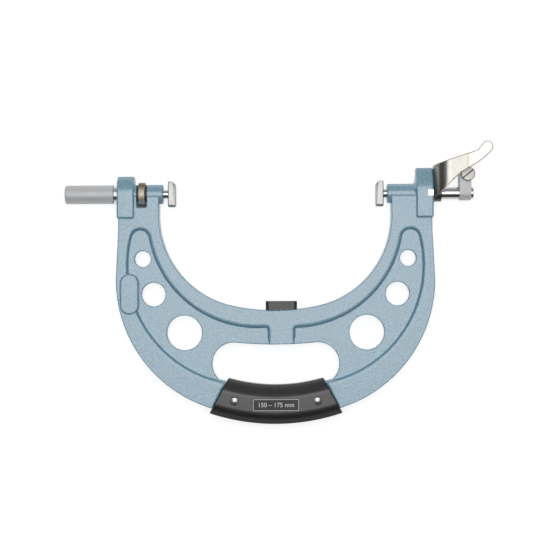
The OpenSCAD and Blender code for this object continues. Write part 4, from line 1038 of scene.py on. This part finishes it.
def lock_slot_shade_shells():
    """Black lining put in the lock ring's slot as painted shade: a washer at either side, and a foot with two cheeks
    below the axis.
    """
    half, foot = LOCK_SLOT / 2 - 0.02, LOCK_FOOT + 0.02
    wall, top, depth, washer = 1.35, -6.6, 5.0, 1.3
    side = [[half, foot], [half, top], [half - wall, top], [half - wall, foot + wall + 0.01]]
    shade_foot = np.array(side + [[-x, y] for x, y in side[::-1]]) + [LOCK_X, 0]
    starts = LOCK_X - half, LOCK_X + half - washer
    shade_washers = [turned(ring_profile(x, x + washer, 8.2, RING_BORE_R + 0.03, 0.3)) for x in starts]
    return shade_washers + [prism(shade_foot, edge_rings(depth, 0.2))]


class GAUGE_OT_adjusting_side(bpy.types.Operator):
    """Builds the cap, bush, lock ring, spindle and anvil of the adjusting side"""

    bl_idname = "gauge.adjusting_side"
    bl_label = "Adjusting side"

    def execute(self, context):
        c = colours()
        satin, bright = shared_finish("satin_turning"), shared_finish("spindle_grinding")
        bush = turned_metal("bush_steel", shade_of(c["satin"], 0.9), 0.28)
        x0, x1 = CAP_END + 0.05, CAP_FLOOR - 0.1
        plug = turned([[x0, 0], [x0, 0.6], [x1, 0.6], [x1, 0]], False, 48)
        build("spindle_cap_shell", [turned(rounded(CAP, 8)), plug], "cap", ["spindle_cap"], satin)
        build("screw_bush_neck", [turned(rounded(BUSH, 5))], "gauge", ["screw_bush"], bush)
        warm = lock_finish(c["warm"])
        build("lock_ring_knurled", [lock_ring_shell()], "ring", ["lock_ring"], warm, 60)
        # A black piece that stands in for the shade in the lock ring's slot.
        build("lock_slot_liner", lock_slot_shade_shells(), "gauge", [], shared_finish("oil_blacking"))
        x0, x1 = ends_of("adjusting_spindle")
        rod = turned([[x0, 0], [x0, SPINDLE_R], [x1, SPINDLE_R], [x1, 0]], False)
        build("adjusting_spindle_rod", [rod], "left_spindle", ["adjusting_spindle"], bright)
        build_anvil(-1, "reference", "left_spindle")
        return {"FINISHED"}


# Indicator side


def lever_outline(x):
    """Lower and upper edge of the lever seen from the front, at distances x from its foot. Below, a straight side and
    a wide arc meet the arc round the tip, above, two straight sides do. The whole is drawn in by the fit."""
    tip, r, side_r, turn, fit = np.array([45.3, 38.9]), 5.0, 59.0, 41, (1.02, 0.987)
    centre = tip - (side_r - r) * np.array([math.cos(math.radians(turn)), -math.sin(math.radians(turn))])
    side = arc(centre, side_r, -turn - 20, -turn, 14)
    low = np.r_[[[0, -4.2], [22.5, 16.5]], side, arc(tip, r, -turn, 0, 16)[1:]]
    high = np.r_[[[0, 24.3], [37, 36.2]], arc(tip, r, 145, 0, 30)]
    return tuple(np.interp(x * fit[0], line[:, 0], line[:, 1]) * fit[1] for line in (low, high))


def lever_shell(ease=0.9, drop=0.8):
    """Lever as a pressed sheet. Its outer face follows a path along foot, bend, leaf and raised thumb piece, with a
    shallow pressed line where it is folded, and is spread across between the two edges of its outline. Near the
    outline it falls by drop (1 - sqrt(1 - (1 - d / ease) squared)), where d is the distance from it. The inner face
    lies one thickness below."""
    r, bend = LEVER_BEND, np.linspace(0, math.pi / 2, 24)
    foot = np.c_[np.zeros(6), np.linspace(0.2, LEVER_FOOT - 0.3, 6)]
    corner = np.c_[r - r * np.cos(bend), LEVER_FOOT + r * np.sin(bend)]
    leaf = r + 0.5 + LEVER_LEAF * np.sin(np.linspace(0, math.pi / 2, 110))
    past = leaf - LEVER_FOLD
    fold = (np.sqrt(past**2 + 1.0) + past) / 2 * math.tan(math.radians(FOLD_SLOPE))
    pressed = PRESSED * np.exp(-((past / PRESSED_WIDTH) ** 2))
    path = np.r_[foot, corner, np.c_[leaf, LEVER_FOOT + r + fold - pressed]]
    along = np.r_[0, np.cumsum(np.linalg.norm(np.diff(path, axis=0), axis=1))]
    low, high = lever_outline(path[:, 0])
    border = np.minimum(ease, (high - low) / 2)[:, None] * np.array([0, 0.05, 0.18, 0.38, 0.66, 1.0])
    inner_low, inner_high = low[:, None] + border[:, -1:], high[:, None] - border[:, -1:]
    middle = inner_low + (inner_high - inner_low) * np.linspace(0, 1, 16)[None, 1:-1]
    y = np.concatenate([low[:, None] + border, middle, (high[:, None] - border)[:, ::-1]], 1)
    spot = np.stack([np.broadcast_to(along[:, None], y.shape), y], -1)[:, :, None]
    line = np.r_[np.c_[along, low], np.c_[along, high][-2::-1]]
    a, step = line[:-1], np.diff(line, axis=0)
    part = np.clip(((spot - a) * step).sum(-1) / (step * step).sum(-1), 0, 1)[..., None]
    d = np.linalg.norm(spot - a - part * step, axis=-1).min(-1)
    fall = drop * (1 - np.sqrt(1 - (1 - np.clip(d / ease, 0, 1)) ** 2))
    way = np.gradient(path, axis=0)
    way = way / np.linalg.norm(way, axis=1, keepdims=True)
    out = np.c_[-way[:, 1], np.zeros(len(way)), way[:, 0]][:, None]
    face = np.stack(np.broadcast_arrays(path[:, :1] + LEVER_X, y, path[:, 1:]), -1)
    outer, inner = face - fall[..., None] * out, face - LEVER_SHEET * out
    rows, columns = y.shape
    total = rows * columns
    quad = np.array(quads(rows, columns, wrap_columns=False))
    number = np.arange(total).reshape(rows, columns)
    rim = np.r_[number[0], number[1:, -1], number[-1, -2::-1], number[-2:0:-1, 0]]
    after = np.roll(rim, -1)
    wall = np.c_[rim, after, after + total, rim + total]
    points = np.concatenate([outer.reshape(-1, 3), inner.reshape(-1, 3)])
    return points, quad.tolist() + (quad[:, ::-1] + total).tolist() + wall.tolist()


def clamp_outline():
    """Section of the split clamp across the axis: a band round the tube with two ears above and the slit between."""
    r, bore, slit = CLAMP_R, STEM_BORE_R, CLAMP_SLIT
    gap = math.degrees(math.asin(slit / bore))
    outer = arc((0, 0), r, 180, 360, 40)
    inner = arc((0, 0), bore, 90 - gap, -270 + gap, 60)
    ears = soften([[r, 0], [r, CLAMP_TOP], [slit, CLAMP_TOP], [slit, bore]], [0.01, 1.0, 0.5, 0.01], 6)
    right = ears[(ears[:, 1] > 0.5)]
    left = (right * [-1, 1])[::-1]
    return np.r_[outer, right, inner, left]


def bolt_shells():
    """Clamp's screw: a head with a small step below and a round edge above, and its shank."""
    radius, top, foot, step = 6.1, 9.7, 6.4, 0.2
    head = np.r_[[[foot, 0], [foot, radius - step], [foot + step, radius]], head_edge(top, radius, 0.8), [[top, 0]]]
    end, shank_r = -6.3, 1.95
    shank = [[end, 0], [end, shank_r], [foot + 0.1, shank_r], [foot + 0.1, 0]]
    return [turned(head, False, 72, BOLT, (2, 0, 1)), turned(shank, False, 32, BOLT, (2, 0, 1))]


def bolt_slot():
    """Cutter for the slot in the clamp's screw, a bar turned across the head."""
    reach, half, floor = 8.0, 0.6, 8.3
    t = math.radians(BOLT_TURN)
    turn = np.array([[math.cos(t), math.sin(t)], [-math.sin(t), math.cos(t)]])
    return prism(rectangle(reach, half) @ turn + BOLT[:2], [[0, 12], [0, floor]])


class GAUGE_OT_indicator_side(bpy.types.Operator):
    """Builds the spindle, anvil, key, lever, stem tube, clamp and screw of the indicator side"""

    bl_idname = "gauge.indicator_side"
    bl_label = "Indicator side"

    def execute(self, context):
        c = colours()
        satin, bright = shared_finish("satin_turning"), shared_finish("spindle_grinding")
        black = shared_finish("oil_blacking")
        polish = turned_metal("polished_steel", c["bright"], 0.12)
        key = turned_metal("key_steel", shade_of(c["bright"], 1.1), 0.25, (300.0, 5000.0, 300.0))
        nickel = lever_finish(c["nickel"])
        screw = turned_metal("screw_nickel", shade_of(c["nickel"], 0.9), 0.34, (300.0, 300.0, 300.0))
        x0, x1 = ends_of("retracting_spindle")
        steps = [[x0, 0], [x0, SPINDLE_R], [STEM_START, SPINDLE_R], [STEM_START, TAIL_R], [x1, TAIL_R], [x1, 0]]
        rod = turned(steps, False)
        build("retracting_spindle_rod", [rod], "right_spindle", ["retracting_spindle"], bright)
        build_anvil(1, "retracting", "right_spindle")
        corners = soften(rectangle(*KEY_HALF) + [KEY_X, 0], 0.3, 5)
        block = prism(corners, np.r_[edge_rings(BOSS_Z + 0.05, 0.25)[:5], [[0, KEY_FOOT]]])
        build("guide_key_block", [block], "gauge", ["guide_key"], key)
        build("stem_tube_turned", [turned(rounded(STEM, 5))], "gauge", ["stem_tube"], polish)
        collar = turned(ring_profile(*COLLAR, 0.6, 6))
        build("lever_collar_ring", [collar], "right_spindle", ["lever_collar"], black)
        eye = turned(ring_profile(*EYE, 0.15))
        build("lever_sheet", [lever_shell(), eye], "lever", ["lifting_lever"], nickel, 50)
        rings = edge_rings(CLAMP_HALF, sizes()["metal_edge"]) + [0, CLAMP_X]
        clamp = prism(clamp_outline(), rings, axes=(2, 1, 0))
        build("stem_clamp_body", [clamp], "gauge", ["stem_clamp"], satin)
        bolt = build("clamp_screw_head", bolt_shells(), "clamp_bolt", ["clamp_screw"], screw)
        # The slot's cut faces take the black finish, a painted shade inside the slot.
        carve(bolt, [bolt_slot()], 38, black)
        return {"FINISHED"}


# Work stop


def stop_shell(top):
    """Work stop: an outline with bevelled corners, seen from above, carried down from its top with a round edge. Its
    foot follows the throat's bottom arc at y = centre - sqrt(radius squared - x squared), just clear of it."""
    half, half_w, bevel, edge, clear = 13.6, 6.5, 2.4, 0.28, 0.1
    quarter = np.array([[half, half_w - bevel], [half - bevel, half_w]])
    corners = np.r_[quarter * [-1, 1], quarter[::-1], quarter * [1, -1], (quarter * -1)[::-1]]
    loop = soften(corners + [STOP_X, 0], 0.3, 4)
    grid = ring_grid(loop, np.r_[edge_rings(top, edge)[:5], [[0, 0]]], axes=(0, 2, 1))
    grid[-1, :, 1] = BOTTOM_Y - np.sqrt((BOTTOM_R - clear) ** 2 - grid[-1, :, 0] ** 2)
    return skin(grid)


class GAUGE_OT_work_stop(bpy.types.Operator):
    """Builds the work stop on the throat's bottom edge"""

    bl_idname = "gauge.work_stop"
    bl_label = "Work stop"

    def execute(self, context):
        block = stop_shell(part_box("work_stop")[1].y * 1000)
        build("work_stop_block", [block], "stop", ["work_stop"], shared_finish("oil_blacking"))
        return {"FINISHED"}


# Inner parts


def spring_shell():
    """Return spring: a round wire about the helix x = t pitch, at the angle 2 pi t and the coil's radius, for t from
    none to the number of turns."""
    t = np.linspace(0, SPRING_TURNS, 48 * SPRING_TURNS + 1)[:, None]
    b = np.linspace(0, 2 * math.pi, 12, endpoint=False)[None]
    pitch = (SPRING_LENGTH - 2 * SPRING_WIRE) / SPRING_TURNS
    x = STEM_START - SPRING_LENGTH + SPRING_WIRE * (1 + np.sin(b)) + pitch * t
    radius = np.broadcast_to(BORE_R + 0.25 + SPRING_WIRE * (1 + np.cos(b)), x.shape)
    return skin(np.stack([x, radius * np.cos(2 * math.pi * t), radius * np.sin(2 * math.pi * t)], -1))


class GAUGE_OT_inner_parts(bpy.types.Operator):
    """Builds the return spring and gives the solids that stay their finishes"""

    bl_idname = "gauge.inner_parts"
    bl_label = "Inner parts"

    def execute(self, context):
        c = colours()
        steel = turned_metal("plain_steel", shade_of(c["satin"], 0.8), 0.32)
        spring = turned_metal("spring_wire", shade_of(c["satin"], 0.6), 0.25, (3000.0, 3000.0, 3000.0))
        black = shared_finish("oil_blacking")
        coil = build("return_spring_coil", [spring_shell()], "gauge", ["return_spring"], spring)
        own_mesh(coil)
        for name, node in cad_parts.items():
            if not node.hide_render:
                node.data.materials.clear()
                node.data.materials.append(black if name == "lock_collet" else steel)
        return {"FINISHED"}


# Stage


class GAUGE_OT_stage(bpy.types.Operator):
    """Sets the floor, the lights, the world and the camera"""

    bl_idname = "gauge.stage"
    bl_label = "Stage"

    def execute(self, context):
        scene = context.scene
        scene.view_settings.view_transform = "Standard"
        # The floor is a flat grid at the gauge's lowest level.
        side = np.linspace(-FLOOR_HALF, FLOOR_HALF, 9)
        grid = np.stack(np.meshgrid(side, side, indexing="ij") + [np.full((9, 9), CAD_BOX[0][2])], -1)
        mesh = bpy.data.meshes.new("floor")
        mesh.from_pydata(grid.reshape(-1, 3).tolist(), [], [q[::-1] for q in quads(9, 9, wrap_columns=False)])
        mesh.materials.append(floor_finish((FLOOR_GREY,) * 3))
        lamp = bpy.data.lights.new("overhead_softbox", "AREA")
        lamp.shape, lamp.size, lamp.size_y, lamp.energy = "RECTANGLE", SOFTBOX_SIDE, SOFTBOX_SIDE, SOFTBOX_POWER
        camera = bpy.data.cameras.new("camera")
        camera.lens, camera.sensor_width, camera.sensor_fit = CAMERA_LENS, 36.0, "HORIZONTAL"
        floor, box, eye = (bpy.data.objects.new(data.name, data) for data in (mesh, lamp, camera))
        for item in (floor, box, eye):
            scene.collection.objects.link(item)
        box.location = SOFTBOX_PLACE
        eye.location = CAMERA_PLACE
        eye.rotation_euler = (0, 0, math.radians(CAMERA_ROLL))
        scene.camera = eye
        scene.world = bpy.data.worlds.new("studio")
        sky = Nodes(scene.world, "World", "Background")
        # The room is brighter towards +y and dimmer at the sides, with a low glow on the near side.
        x, y, z = sky.parts(sky.node("TexCoord"))
        aside = sky.node("Math", {"operation": "ABSOLUTE"}, {0: x})
        wall = sky.span(y, -0.8, 0.8, 0.05, 0.5) * sky.span(aside, 0.3, 0.9, 1.0, 0.25)
        glow = sky.span(y, -0.9, -0.5, 0.4, 0.0) * sky.span(z, 0.1, 0.4, 1.0, 0.0)
        sky.feed(Strength=wall + glow)
        return {"FINISHED"}


class GAUGE_PT_panel(bpy.types.Panel):
    """Settings and builders of the gauge's looks"""

    bl_idname = "GAUGE_PT_panel"
    bl_label = "Snap gauge"
    bl_space_type = "VIEW_3D"
    bl_region_type = "UI"
    bl_category = "Gauge"

    def draw(self, context):
        gauge = context.scene.gauge
        column = self.layout.column()
        for group, keys in ((gauge.sizes, GaugeSizes), (gauge.colours, GaugeColours)):
            for key in keys.__annotations__:
                column.prop(group, key)
        column.prop(gauge, "figures")
        for builder in BUILDERS:
            column.operator(builder.bl_idname)


BUILDERS = (
    GAUGE_OT_frame,
    GAUGE_OT_grip,
    GAUGE_OT_plate,
    GAUGE_OT_adjusting_side,
    GAUGE_OT_indicator_side,
    GAUGE_OT_work_stop,
    GAUGE_OT_inner_parts,
    GAUGE_OT_stage,
)
CLASSES = (GaugeSizes, GaugeColours, GaugeSettings) + BUILDERS + (GAUGE_PT_panel,)


def register():
    for cls in CLASSES:
        bpy.utils.register_class(cls)
    bpy.types.Scene.gauge = PointerProperty(type=GaugeSettings)


def unregister():
    del bpy.types.Scene.gauge
    for cls in reversed(CLASSES):
        bpy.utils.unregister_class(cls)


def main():
    """Registers the add-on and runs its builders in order."""
    register()
    for step in ("frame", "grip", "plate", "adjusting_side", "indicator_side", "work_stop", "inner_parts", "stage"):
        getattr(bpy.ops.gauge, step)()


if __name__ == "__main__":
    main()
